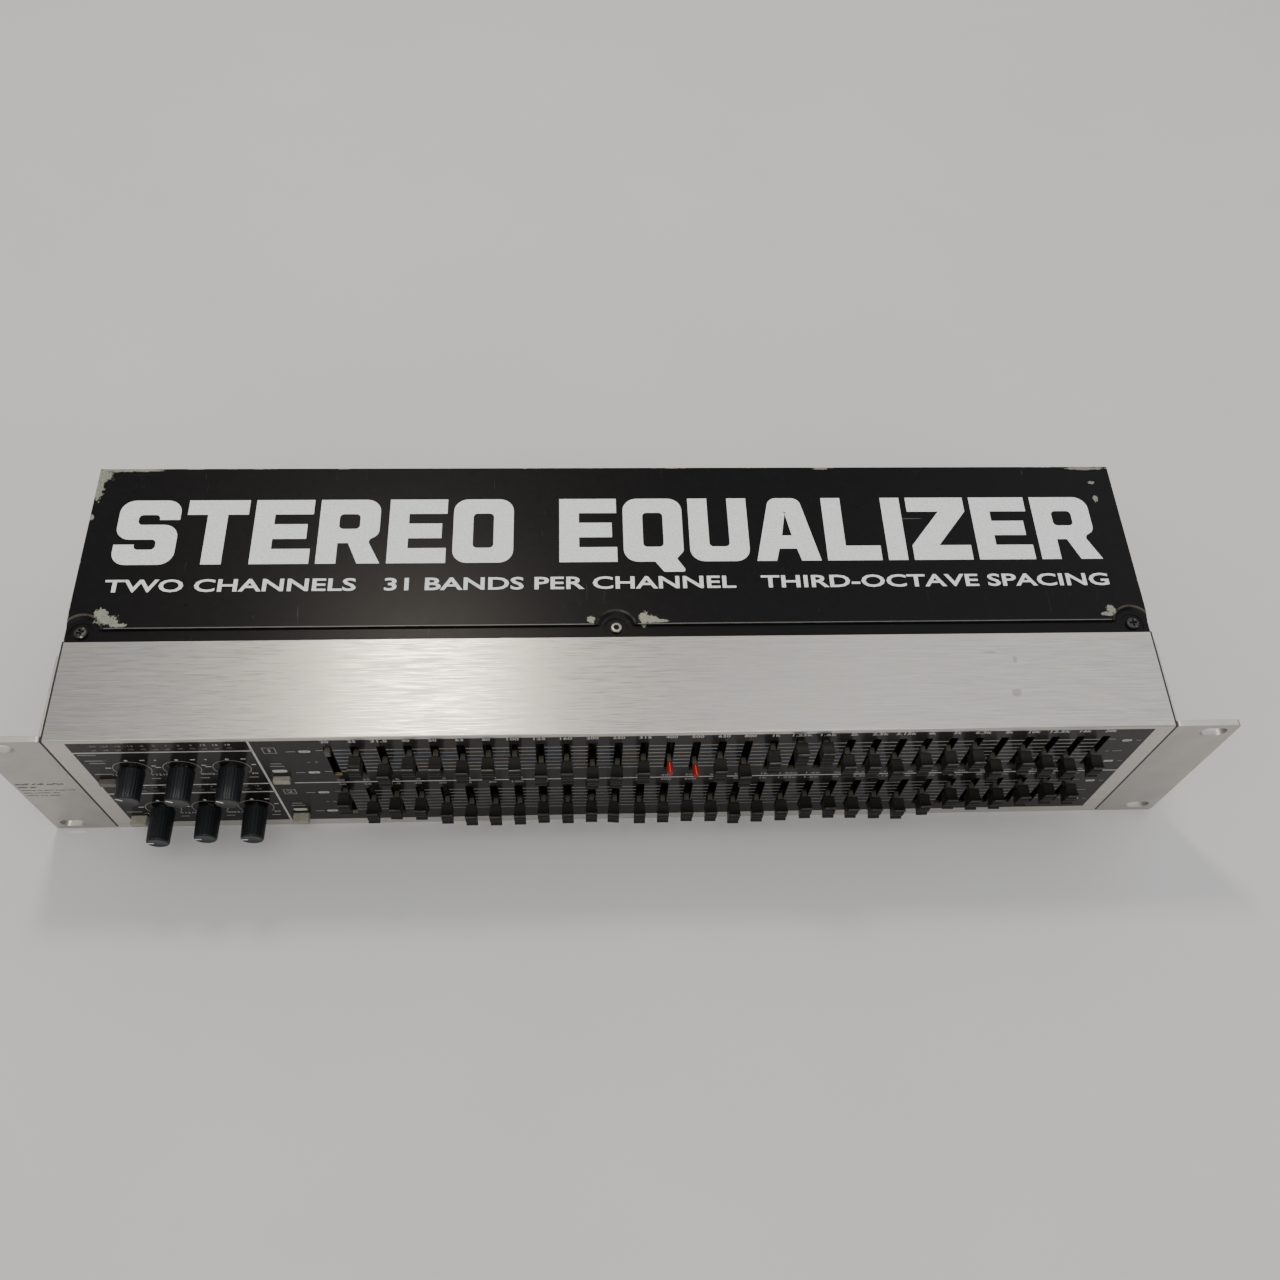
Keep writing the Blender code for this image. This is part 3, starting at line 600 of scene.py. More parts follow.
def prism(points, half, bevel=0.0):
    """A flat outline of (x, y) points in metres, extruded by half to each side of z = 0."""
    made = bmesh.new()
    face = made.faces.new([made.verts.new((x, y, -half)) for x, y in points])
    out = bmesh.ops.extrude_face_region(made, geom=[face])
    moved = [item for item in out["geom"] if isinstance(item, bmesh.types.BMVert)]
    bmesh.ops.translate(made, verts=moved, vec=(0.0, 0.0, 2 * half))
    bmesh.ops.recalc_face_normals(made, faces=made.faces)
    if bevel:
        rounded_off(made, bevel)
    return made


def arc(x, y, radius, start, end, steps):
    """Points on an arc, with angles in degrees."""
    return [(x + radius * math.cos(math.radians(start + (end - start) * step / steps)),
             y + radius * math.sin(math.radians(start + (end - start) * step / steps)))
            for step in range(steps + 1)]


def rounded(x_low, x_high, y_low, y_high, radius, steps=6):
    """The outline of a rectangle with round corners."""
    return (arc(x_high - radius, y_low + radius, radius, -90, 0, steps)
            + arc(x_high - radius, y_high - radius, radius, 0, 90, steps)
            + arc(x_low + radius, y_high - radius, radius, 90, 180, steps)
            + arc(x_low + radius, y_low + radius, radius, 180, 270, steps))


def curve_mesh(curve):
    """The mesh of a curve or text, and the curve is removed."""
    holder = linked("holder", curve)
    bpy.context.view_layer.update()
    mesh = bpy.data.meshes.new_from_object(holder.evaluated_get(bpy.context.evaluated_depsgraph_get()))
    bpy.data.objects.remove(holder, do_unlink=True)
    bpy.data.curves.remove(curve)
    return mesh


def plate(outlines, thickness, bevel):
    """A flat sheet about z = 0 from closed outlines in millimetres; those inside the first are holes."""
    curve = bpy.data.curves.new("plate", "CURVE")
    curve.dimensions = "2D"
    curve.fill_mode = "BOTH"
    curve.extrude = thickness * MM / 2 - bevel * MM
    if bevel:
        curve.bevel_depth = bevel * MM
        curve.bevel_resolution = 2
        curve.offset = -bevel * MM
    for outline in outlines:
        spline = curve.splines.new("POLY")
        spline.points.add(len(outline) - 1)
        for point, (x, y) in zip(spline.points, outline):
            point.co = (x * MM, y * MM, 0.0, 1.0)
        spline.use_cyclic_u = True
    made = shape_of(curve_mesh(curve))
    bmesh.ops.remove_doubles(made, verts=made.verts, dist=1e-7)
    return made


def with_modifier(solid, kind, **settings):
    """The bmesh after one modifier; the old one is freed."""
    mesh = bpy.data.meshes.new("holder")
    solid.to_mesh(mesh)
    solid.free()
    holder = linked("holder", mesh)
    modifier = holder.modifiers.new(kind, kind)
    for name, value in settings.items():
        setattr(modifier, name, value)
    bpy.context.view_layer.update()
    evaluated = holder.evaluated_get(bpy.context.evaluated_depsgraph_get())
    made = shape_of(bpy.data.meshes.new_from_object(evaluated))
    bpy.data.objects.remove(holder, do_unlink=True)
    bpy.data.meshes.remove(mesh)
    return made


def broken_edges(solid, width, angle, segments=2):
    """The bmesh with the edges that turn by more than angle degrees bevelled by width millimetres."""
    return with_modifier(solid, "BEVEL", width=width * MM, segments=segments, limit_method="ANGLE",
                         angle_limit=math.radians(angle), use_clamp_overlap=True)


def cut_away(solid, tool, operation="DIFFERENCE"):
    """solid minus tool, both bmeshes."""
    mesh = bpy.data.meshes.new("tool")
    tool.to_mesh(mesh)
    tool.free()
    cutter = linked("tool", mesh)
    made = with_modifier(solid, "BOOLEAN", operation=operation, solver="EXACT", object=cutter)
    bpy.data.objects.remove(cutter, do_unlink=True)
    bpy.data.meshes.remove(mesh)
    return made


def join_to(solid, tool):
    """solid and tool, both bmeshes, as one solid."""
    return cut_away(solid, tool, "UNION")


# Turns that lay a drawing's x, y and z on the front face, on the rear wall and on the top, and one that
# makes an outline of y and z run across x.
ON_FRONT = Matrix(((1, 0, 0, 0), (0, 0, -1, FRONT), (0, 1, 0, 0), (0, 0, 0, 1)))
ON_REAR = Matrix(((-1, 0, 0, 0), (0, 0, 1, FRONT + DEPTH * MM), (0, 1, 0, 0), (0, 0, 0, 1)))
ON_TOP = Matrix(((1, 0, 0, 0), (0, 1, 0, FRONT), (0, 0, 1, HEIGHT * MM), (0, 0, 0, 1)))
ACROSS = Matrix(((0, 0, 1, 0), (1, 0, 0, 0), (0, 1, 0, 0), (0, 0, 0, 1)))


class Print:
    """Marks of ink on one flat face, drawn in millimetres from the face's own x and y."""

    def __init__(self, turn, thickness=INK):
        self.turn = turn
        self.thickness = thickness
        self.solid = bmesh.new()

    def lay(self, flat, material=0):
        """Adds a flat solid whose middle is on z = 0, so that it stands half its ink on the face."""
        add(self.solid, flat, material, self.turn)
        flat.free()

    def bar(self, x, y, width, height, material=0):
        low = (x - width / 2, y - height / 2, -INK / 2)
        high = (x + width / 2, y + height / 2, self.thickness)
        self.lay(small_box(low, high), material)

    def shape(self, outline, material=0):
        points = [(x * MM, y * MM) for x, y in outline]
        self.lay(prism(points, self.thickness * MM), material)

    def pill(self, x, y, width, height, material=0):
        half_width, half_height = width / 2, height / 2
        outline = rounded(x - half_width, x + half_width, y - half_height, y + half_height, height * 0.48)
        self.shape(outline, material)

    def ring(self, x, y, radius, width, start, end, material=0, steps=40):
        outer = arc(x, y, radius + width / 2, start, end, steps)
        inner = arc(x, y, radius - width / 2, end, start, steps)
        for step in range(steps):
            back = steps - step
            self.shape([outer[step], outer[step + 1], inner[back - 1], inner[back]], material)

    def frame(self, x, y, width, height, line, material=0):
        """A rectangle drawn as four lines."""
        for side in (-1, 1):
            self.bar(x, y + side * (height - line) / 2, width, line, material)
            self.bar(x + side * (width - line) / 2, y, line, height - 2 * line, material)

    def text(self, words, x, y, height, width=None, material=0, bold=0.0, stretch=1.0):
        """Words of a height, fitted to a width or stretched, centred on x and y."""
        curve = bpy.data.curves.new("words", "FONT")
        curve.body = words
        curve.size = 1.0
        curve.offset = bold
        curve.extrude = 0.5
        curve.resolution_u = 3
        mesh = curve_mesh(curve)
        corners = [vertex.co.copy() for vertex in mesh.vertices]
        low = Vector((min(c.x for c in corners), min(c.y for c in corners), 0.0))
        high = Vector((max(c.x for c in corners), max(c.y for c in corners), 0.0))
        tall = height * MM / (high.y - low.y)
        wide = width * MM / (high.x - low.x) if width else tall * stretch
        mesh.transform(move((-(low.x + high.x) / 2, -(low.y + high.y) / 2, 0.0)))
        mesh.transform(Matrix.Diagonal((wide, tall, 2 * self.thickness * MM, 1.0)))
        mesh.transform(move((x * MM, y * MM, 0.0)))
        flat = shape_of(mesh)
        bmesh.ops.remove_doubles(flat, verts=flat.verts, dist=1e-8)
        self.lay(flat, material)

    def done(self, name, materials):
        piece(name, self.solid, materials, sharp=20.0)


# ---------------------------------------------------------------- front panel

KNOBS = [(channel, number, centre(f"ch{channel}_knob_{number}"))
         for channel in (1, 2) for number in (1, 2, 3)]
BUTTONS = [f"ch{channel}_{kind}_button" for channel in (1, 2) for kind in ("limiter", "bypass")]
KNOB_HOLE = 3.5
BUTTON_PLAY = 0.3


def front_panel():
    """The folded sheet with its slots, all edges slightly broken."""
    fold = arc(FOLD_RADIUS, HEIGHT - FOLD_RADIUS, FOLD_RADIUS, 180, 90, 10)
    outline = [(0.0, 0.0), *fold, (STRIP_DEPTH, HEIGHT), (STRIP_DEPTH, HEIGHT - SHEET),
               (SHEET, HEIGHT - SHEET), (SHEET, 0.0)]
    points = [(FRONT + y * MM, z * MM) for y, z in outline]
    sheet = prism(points, (PANEL_HALF - SIDE_GAP) * MM)
    bmesh.ops.transform(sheet, matrix=ACROSS, verts=sheet.verts)
    tool = bmesh.new()
    half_wide, half_tall = SLOT[0] / 2, SLOT[1] / 2
    for z in SLOT_Z:
        for x in BAND_X:
            low = at(x - half_wide, -1.0, z - half_tall)
            add(tool, box(low, at(x + half_wide, SHEET + 1.0, z + half_tall)))
    hole = turned([(0.0, -3.0), (KNOB_HOLE, -3.0), (KNOB_HOLE, 3.0), (0.0, 3.0)], 32)
    lying = spin("X", 90.0)
    for _, _, place in KNOBS:
        add(tool, hole, 0, move((place.x, FRONT, place.z)) @ lying)
    play, through = BUTTON_PLAY * MM, FRONT + (SHEET + 1.0) * MM
    for name in BUTTONS:
        low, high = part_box(name)
        low = (low.x - play, FRONT - MM, low.z - play)
        add(tool, box(low, (high.x + play, through, high.z + play)))
    sheet = broken_edges(cut_away(sheet, tool), 0.10, 50)
    piece("panel_sheet", sheet, [panel_metal], ["front_panel"], 30.0)


def band_label(band):
    """'3k15' as '3.15k', '31_5' as '31.5'."""
    name = band.replace("_", ".")
    whole, thousand, part = name.partition("k")
    return f"{whole}.{part}k" if thousand and part else name


TICKS = 7
TICK_PITCH = 20.0 / (TICKS - 1)
SCALE_Z = (66.9, 26.4)
# Rows of band numbers: height on the panel, size and ink.
NUMBER_Z = ((84.7, 2.2, 0), (48.1, 1.6, 1), (43.7, 1.6, 1))
CROSS_LINES = (77.5, 45.8, 37.3)
ROW_LINE = (-131.0, 45.9)
# The boxed channel numbers: x, z, the box's height, the number's height and its stretch.
CHANNEL_BOXES = (("1", -134.3, 77.4, 5.4, 2.8, 1.7), ("2", -134.8, 36.8, 5.0, 2.6, 1.6))
# Each channel's level boxes, upper and lower, with those at the right a little lower.
LEVEL_Z = ((76.1, 56.1), (35.5, 15.3))
LEVEL_X = (-121.3, 200.5)
RIGHT_DROP = 0.6


def panel_print():
    """The silver lines, scale lines, numbers, rings and boxes of the dark field."""
    lines = Print(ON_FRONT)
    x_low, x_high, z_low, z_high = FIELD
    lines.bar(DIVIDER_X, (z_low + z_high) / 2, LINE, z_high - z_low)
    for z in CROSS_LINES:
        lines.bar((x_low + DIVIDER_X) / 2, z, DIVIDER_X - x_low, LINE)
    start, z = ROW_LINE
    lines.bar((x_high + start) / 2, z, x_high - start, LINE * 0.8)
    lines.done("panel_lines", [bare_line])

    ticks = Print(ON_FRONT)
    clear = SLOT[0] / 2 + 0.25
    gaps = [(left + clear, right - clear) for left, right in zip(BAND_X, BAND_X[1:])]
    for z in SCALE_Z:
        for number in range(TICKS):
            height = z + TICK_PITCH * (number - (TICKS - 1) / 2)
            for left, right in gaps:
                ticks.bar((left + right) / 2, height, right - left, 0.68)
            if number in (0, TICKS - 1):
                for x, away in ((BAND_X[0], -1), (BAND_X[-1], 1)):
                    ticks.bar(x + away * 3.3, height, 2.8, 0.5)
    ticks.done("scale_lines", [scale_ink])

    numbers = Print(ON_FRONT)
    left_x, right_x = LEVEL_X
    for z, height, tone in NUMBER_Z:
        for x, band in zip(BAND_X, BANDS):
            wide = 1.62 * len(band_label(band)) - 0.2
            numbers.text(band_label(band), x, z, height, width=wide, bold=0.02, material=tone)
    for number, x, z, tall, height, stretch in CHANNEL_BOXES:
        numbers.frame(x, z, 5.0, tall, 0.4, 1)
        numbers.text(number, x, z, height, stretch=stretch, bold=0.02, material=1)
    for upper, lower in LEVEL_Z:
        for z in (upper, lower):
            numbers.pill(left_x, z, 4.6, 1.9)
            numbers.bar(left_x - 5.3, z, 3.6, 0.6, 1)
            numbers.pill(right_x, z - RIGHT_DROP, 4.0, 1.8)
            numbers.bar(right_x + 4.7, z - RIGHT_DROP, 1.8, 0.45, 1)
        middle = (upper + lower) / 2
        numbers.text("0", left_x + 2.7, middle, 1.4, stretch=1.3, material=1)
        numbers.bar(left_x - 0.3, middle, 1.2, 0.45, 1)
        numbers.text("0", right_x - 4.3, middle - 0.5, 1.4, stretch=1.3, material=1)
        numbers.bar(right_x - 0.2, middle - 0.5, 4.0, 0.45, 1)
    numbers.done("panel_numbers", [pale_ink, dim_ink])

    signs = Print(ON_FRONT, 2 * INK)
    for heights in LEVEL_Z:
        for z, sign in zip(heights, ("+12", "-12")):
            signs.text(sign, left_x, z, 1.05, stretch=1.2)
            signs.text(sign, right_x, z - RIGHT_DROP, 1.0, stretch=1.1)
    signs.done("pill_numbers", [dark_ink])


KNOB_SCALES = (("-12", "+12"), ("10", "400"), ("2.5", "30"))
# Round each knob: the arc's radius, width, start and end in degrees, how high its dot stands, and how far out
# and up the scale's end numbers are.
KNOB_ARC = (7.2, 0.42, -40, 220)
KNOB_DOT_RISE = 8.3
KNOB_ENDS = (7.6, -5.4)
# Short dashes round each knob: how far right and up of its axis, how wide and in which ink.
KNOB_DASHES = ((-8.7, 1.6, 2.2, 0), (-8.0, 8.4, 0.8, 0), (6.2, 8.4, 1.9, 0), (9.0, 3.0, 1.7, 0),
               (6.4, -9.2, 3.6, 1))
# Dashes in the place of small words at the left: from x, to x, and z.
WORD_DASHES = ((-206.5, -199.5, 75.5), (-205.5, -197.5, 70.2), (-204.5, -198.5, 67.9),
               (-206.0, -198.8, 57.4), (-206.5, -200.0, 17.5))
# Above each bypass button: where its two dashes and its box stand.
BYPASS_X = -134.4
BYPASS_Z = ((63.8, 57.9), (23.0, 17.2))
# The diodes of both rows, the lower row a little further right.
DIODE_X = [-198.5 + 4.55 * column for column in range(12)]
DIODE_ROWS = ((80.2, 0.0), (40.4, 2.0))


def control_print():
    """What is printed round the knobs and buttons and along the two diode strips."""
    marks = Print(ON_FRONT)
    for _, number, place in KNOBS:
        x, z = place.x / MM, place.z / MM
        marks.ring(x, z, *KNOB_ARC, 1)
        marks.ring(x, z + KNOB_DOT_RISE, 0.4, 0.7, 0, 360, steps=12)
        for side, label in zip((-1, 1), KNOB_SCALES[number - 1]):
            marks.text(label, x + side * KNOB_ENDS[0], z + KNOB_ENDS[1], 1.5, stretch=1.3)
        for shift, rise, width, tone in KNOB_DASHES:
            marks.bar(x + shift, z + rise, width, 0.8, tone)
    for x_low, x_high, z in WORD_DASHES:
        marks.bar((x_low + x_high) / 2, z, x_high - x_low, 0.8, 1)
    for z, pill_z in BYPASS_Z:
        for row, width in ((1.2, 4.2), (-1.2, 5.6)):
            marks.bar(BYPASS_X, z + row, width, 0.7, 1)
        marks.pill(BYPASS_X, pill_z, 5.9, 2.6)
    (upper_z, _), (lower_z, shift) = DIODE_ROWS
    for column, x in enumerate(DIODE_X):
        level = -30 + 6 * column if column < 5 else 3 * (column - 5)
        marks.text(str(level), x, upper_z + 3.1, 1.3, stretch=1.3, material=0 if column > 8 else 1)
        marks.text(str(level), x + shift, lower_z + 3.2, 1.1, stretch=1.2, material=1)
    marks.done("control_marks", [pale_ink, dim_ink])

    lenses = bmesh.new()
    for x in DIODE_X:
        for z, shift in DIODE_ROWS:
            low = at(x + shift - 1.1, -0.25, z - 0.7)
            add(lenses, box(low, at(x + shift + 1.1, 0.4, z + 0.7), 0.18 * MM))
    piece("diode_lenses", lenses, [lens_plastic])


# ---------------------------------------------------------------- sliders, knobs and buttons

CAP_HALF = 2.42
# Half of a cap seen from its side, from the top of its back edge round to its middle: y and z.
CAP_SIDE = [(-2.0, 3.55), (-2.35, 3.95), (-4.6, 3.72), (-6.6, 3.75), (-7.45, 4.05), (-7.95, 4.5),
            (-8.4, 4.3), (-8.4, 3.7), (-7.75, 3.2), (-7.6, 1.9), (-8.25, 1.3), (-8.25, 0.7), (-7.9, 0.3)]
# How much lower the cap's foot reaches than its head, mirrored.
CAP_FOOT = 0.45
# Up to which y each part of the cap narrows, and to what share of its width.
CAP_NARROW = ((-2.2, 0.84), (-6.0, 0.94))


def cap_shape():
    """A cap about the origin of its slider: square shoulders, a hollow top and a ribbed front."""
    mirrored = [(y, -z - (CAP_FOOT if y < -5.0 and z > 3.0 else 0.0)) for y, z in reversed(CAP_SIDE)]
    outline = [(y * MM, z * MM) for y, z in CAP_SIDE + mirrored]
    solid = prism(outline, CAP_HALF * MM)
    bmesh.ops.transform(solid, matrix=ACROSS, verts=solid.verts)
    for vertex in solid.verts:
        for from_y, share in CAP_NARROW:
            if vertex.co.y > from_y * MM:
                vertex.co.x *= share
                break
    return broken_edges(solid, 0.15, 28)


def lever_shape(reach, half=1.05, tall=2.0):
    """A slider's flat lever: painted near black as shade inside the case, brown with dust in front of the
    panel.
    """
    solid = bmesh.new()
    add(solid, small_box((-half, 1.5, -1.3), (half, 4.9, 1.3), 0.2), 2)
    add(solid, small_box((-half, -reach, -tall), (half, 1.8, tall), 0.25), 0)
    return solid


def capped_shape():
    """A slider with its cap, and a pale strip along the cap's crest as a painted highlight."""
    solid = lever_shape(3.6)
    add(solid, cap_shape(), 1)
    add(solid, small_box((-2.25, -8.32, 4.34), (2.25, -7.84, 4.55), 0.05), 3)
    return solid


def red_lever_shape():
    """A capless slider's red tip, narrowing to its brown foot, with a painted highlight on the rib down its
    middle.
    """
    solid = lever_shape(1.4, half=0.85, tall=1.7)
    half_plan = [(0.85, -6.4), (1.2, -5.9), (1.3, -3.6), (1.0, -2.2), (0.62, -1.0)]
    plan = half_plan + [(-x, y) for x, y in reversed(half_plan)]
    add(solid, prism([(x * MM, y * MM) for x, y in plan], 1.25 * MM, 0.3 * MM), 1)
    add(solid, small_box((-0.24, -6.1, -1.45), (0.24, -1.8, 1.45), 0.12), 3)
    return solid


# Sliders that are bent or loose: channel and band, then the tilt up and the turn to the right, in degrees.
BENT = {(1, "1k25"): (8.0, 0.0), (1, "1k6"): (8.0, 0.0), (2, "2k"): (4.0, 0.0), (2, "1k6"): (4.0, 0.0),
        (1, "250"): (0.0, -4.0), (2, "250"): (0.0, -6.0), (1, "400"): (0.0, 3.0), (1, "500"): (0.0, 7.0)}
SLIDER_PIVOT = 3.0
LOOSE = random.Random(31)


def slider_stand(channel, band, x, z):
    """Where one slider stands: slides are a little loose, so each points its own way."""
    tilt, aside = BENT.get((channel, band), (0.0, 0.0))
    tilt += LOOSE.uniform(-1.3, 1.3)
    lean = LOOSE.uniform(-1.6, 1.6)
    aside += LOOSE.uniform(-1.0, 1.0)
    turn = spin("X", -tilt) @ spin("Y", -lean) @ spin("Z", aside)
    to_pivot = move((0.0, -SLIDER_PIVOT * MM, 0.0))
    return move(at(x, SLIDER_PIVOT, z)) @ turn @ to_pivot


def sliders():
    """Channel 1's sliders one by one, then channel 2's, each on its bank's bar."""
    capped = capped_shape()
    plain = [lever_plastic, cap_plastic, shade_black, crest_highlight]
    red = [lever_plastic, red_plastic, shade_black, red_rib_highlight]
    looks = {None: (capped, plain, "slider_plastic"), "stub": (lever_shape(1.8), plain, "slider_plastic"),
             "red": (red_lever_shape(), red, "red_plastic")}
    for x, band in zip(BAND_X, BANDS):
        node = f"ch1_fader_{band}hz"
        solid, materials, slot = looks[BARE.get(band)]
        place = slider_stand(1, band, x, centre(node).z / MM)
        body = f"ch1_slider_{band}hz"
        piece(f"ch1_cap_{band}hz", copy_of(solid, place), materials, [node], body=body)
    for number in range(len(BANKS) - 1):
        node = bank_node(number)
        body = node.replace("faders", "bank")
        low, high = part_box(node)
        members = range(BANKS[number], BANKS[number + 1])
        heights = {band: bank_slider_z(node, BAND_X[band]) for band in members}
        bar_low = at(low.x / MM + 1.4, 1.9, min(heights.values()) - 1.5)
        bar_high = at(high.x / MM - 1.4, 3.2, max(heights.values()) + 1.5)
        bar = box(bar_low, bar_high, 0.2 * MM)
        piece(f"{node}_bar", bar, [cap_plastic], [node], body=body)
        for band in members:
            place = slider_stand(2, BANDS[band], BAND_X[band], heights[band])
            piece(f"ch2_cap_{BANDS[band]}hz", copy_of(capped, place), plain, body=body)


FLUTES = 24
FLUTE_DEPTH = 0.13
KNOB_STEPS = FLUTES * 6
# The knob's rings from the panel outwards: radius, height and how deep the flutes are there.
KNOB_RINGS = ((4.75, 1.0, 0.0), (5.0, 1.2, 0.0), (5.05, 2.2, 0.0), (5.0, 2.6, 1.0), (4.70, 14.7, 1.0),
              (4.64, 15.1, 0.8), (4.5, 15.38, 0.4), (4.3, 15.5, 0.1), (4.0, 15.55, 0.0), (3.8, 15.45, 0.0),
              (0.0, 15.45, 0.0))


def knob_shape():
    """A long fluted knob about its shaft's axis, with z towards the viewer."""
    solid = bmesh.new()
    loops = []
    for radius, height, fluted in KNOB_RINGS:
        loop = []
        for step in range(KNOB_STEPS):
            turn = 2 * math.pi * step / KNOB_STEPS
            groove = FLUTE_DEPTH * fluted * (0.5 - 0.5 * math.cos(FLUTES * turn)) ** 2
            reach = max(radius - groove, 0.0) * MM
            loop.append(solid.verts.new((reach * math.cos(turn), reach * math.sin(turn), height * MM)))
        loops.append(loop)
    for lower, upper in zip(loops, loops[1:]):
        for step in range(KNOB_STEPS):
            after = (step + 1) % KNOB_STEPS
            solid.faces.new((lower[step], lower[after], upper[after], upper[step]))
    solid.faces.new(reversed(loops[0]))
    bmesh.ops.remove_doubles(solid, verts=solid.verts, dist=1e-7)
    return solid


# How far each row's pointers are turned left of straight up, in degrees.
POINTER_TURN = {1: 50.0, 2: 90.0}
# Most knobs are pushed further onto their shafts than channel 2's first.
KNOB_LENGTH = {(1, 1): 0.87, (1, 2): 0.94, (1, 3): 0.97, (2, 2): 0.91, (2, 3): 0.94}


def knobs():
    """Each knob with its shaft and the white pointer across its end face."""
    grip = knob_shape()
    pointer = small_box((-0.32, 1.6, 15.30), (0.32, 4.35, 15.62), 0.06)
    materials = [knob_plastic, white_ink, bright_metal]
    shaft = turned([(0.0, -7.7), (3.0, -7.7), (3.0, 2.0), (0.0, 2.0)], 32)
    for channel, number, place in KNOBS:
        name = f"ch{channel}_knob_{number}"
        turn = spin("Z", POINTER_TURN[channel])
        length = Matrix.Diagonal((1.0, 1.0, KNOB_LENGTH.get((channel, number), 1.0), 1.0))
        stand = move((place.x, 0.0, place.z)) @ ON_FRONT @ turn @ length
        solid = bmesh.new()
        for number, part in enumerate((grip, pointer, shaft)):
            add(solid, part, number, stand)
        piece(f"{name}_grip", solid, materials, [name], body=f"{name}_body")


def buttons():
    """The four push buttons, one of them darker."""
    for name in BUTTONS:
        low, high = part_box(name)
        solid = box(low, high, 0.35 * MM, 3)
        plastic = darker_plastic if name == "ch1_limiter_button" else button_plastic
        piece(f"{name}_cap", solid, [plastic], [name], body=f"{name}_body")


# ---------------------------------------------------------------- ears, lid and screws

EAR_SHEET = 2.6
EAR_SLOT = (10.6, 6.5)
EAR_SLOT_X = 232.55
EAR_SLOT_Z = (5.95, 82.15)
# The leg beside the case: how far out from it, and how far back and up, with its screws' places.
EAR_LEG = (0.3, 2.3)
EAR_LEG_BACK = 38.0
EAR_LEG_Z = (3.0, 85.1)
EAR_SCREWS = [(y, z) for z in (16.0, 44.0, 72.0) for y in (14.0, 29.0)]


def rack_ears():
    """The two angle brackets with their slots and screws."""
    half = (EAR_SLOT[0] - EAR_SLOT[1]) / 2
    radius = EAR_SLOT[1] / 2
    for name, side in (("left_ear", -1), ("right_ear", 1)):
        low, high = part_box(name)
        solid = bmesh.new()
        outline = rounded(low.x / MM, high.x / MM, 0.0, HEIGHT, 1.4)
        x = side * EAR_SLOT_X
        holes = [arc(x + half, z, radius, -90, 90, 16) + arc(x - half, z, radius, 90, 270, 16)
                 for z in EAR_SLOT_Z]
        flange = plate([outline, *holes], EAR_SHEET, 0.16)
        add(solid, flange, 0, move((0.0, EAR_SHEET / 2 * MM, 0.0)) @ ON_FRONT)
        inner, outer = sorted(side * (SIDE + out) for out in EAR_LEG)
        leg_low = at(inner, EAR_SHEET - 0.3, EAR_LEG_Z[0])
        add(solid, box(leg_low, at(outer, EAR_LEG_BACK, EAR_LEG_Z[1]), 0.3 * MM))
        piece(f"{name}_bracket", solid, [ear_metal], [name])
        screws = bmesh.new()
        head = screw_head(2.6, 1.3)
        turn = spin("Y", side * 90.0)
        for y, z in EAR_SCREWS:
            add(screws, head, None, move(at(side * (SIDE + EAR_LEG[1]), y, z)) @ turn)
        piece(f"{name}_screws", screws, [black_screw, shade_black])


# The caption's rows: height on the panel, the strokes' height and pitch, and how many are in each word.
CAPTION_ROWS = ((48.6, 1.5, 0.95, (6, 5, 7)), (45.4, 1.3, 0.95, (4, 3)), (42.2, 0.75, 0.72, (8, 3, 5, 6, 4)),
                (39.6, 0.75, 0.72, (5, 9, 4)), (37.0, 0.75, 0.72, (7, 4, 6)))


def ear_print():
    """The small caption on the left ear: rows of short strokes that spell nothing."""
    caption = Print(ON_FRONT)
    strokes = random.Random(7)
    for z, height, pitch, words in CAPTION_ROWS:
        x = -240.0
        for letters in words:
            for _ in range(letters):
                tall = height * strokes.uniform(0.55, 1.0)
                shift = (height - tall) * strokes.choice((-0.5, 0.5))
                caption.bar(x + pitch * 0.42, z + shift, pitch * 0.84, tall)
                x += pitch
            x += pitch * 0.9
    caption.done("ear_caption", [ear_ink])


def recessed(profile, recess, low, high, floor_low, floor_high):
    """A turned head with a recess cut from height low to high, and painted shade as its dark floor, material
    1.
    """
    head = turned(profile, 36)
    tool = bmesh.new()
    add(tool, prism(recess, (high - low) / 2 * MM), 0, move((0.0, 0.0, (low + high) / 2 * MM)))
    head = cut_away(head, tool)
    half, middle = (floor_high - floor_low) / 2, (floor_low + floor_high) / 2
    add(head, prism(recess, half * MM), 1, move((0.0, 0.0, middle * MM)))
    return head


def screw_head(radius, height):
    """A pan head with a cross recess, standing on z = 0."""
    profile = [(radius, 0.0), (radius, height * 0.45)]
    profile += [(radius * (0.55 + 0.45 * math.cos(turn)), height * (0.45 + 0.55 * math.sin(turn)))
                for turn in (math.radians(15 * step) for step in range(1, 7))]
    arm, width = radius * 0.58 * MM, radius * 0.17 * MM
    cross = [(width, width), (width, arm), (-width, arm), (-width, width), (-arm, width), (-arm, -width),
             (-width, -width), (-width, -arm), (width, -arm), (width, -width), (arm, -width), (arm, width)]
    return recessed([(0.0, 0.0), *profile, (0.0, height)], cross, height * 0.45, height * 1.45,
                    height * 0.46 - 0.04, height * 0.46 + 0.04)


def socket_screw(radius, height):
    """A round head with a six-sided recess, standing on z = 0."""
    profile = [(radius, 0.0), (radius, height * 0.6), (radius * 0.93, height * 0.9), (radius * 0.80, height)]
    turns = [math.radians(60 * step) for step in range(6)]
    inside = [(radius * 0.60 * math.cos(turn) * MM, radius * 0.60 * math.sin(turn) * MM) for turn in turns]
    return recessed([(0.0, 0.0), *profile, (0.0, height)], inside, height * 0.10, height * 1.80,
                    height * 0.05, height * 0.35)


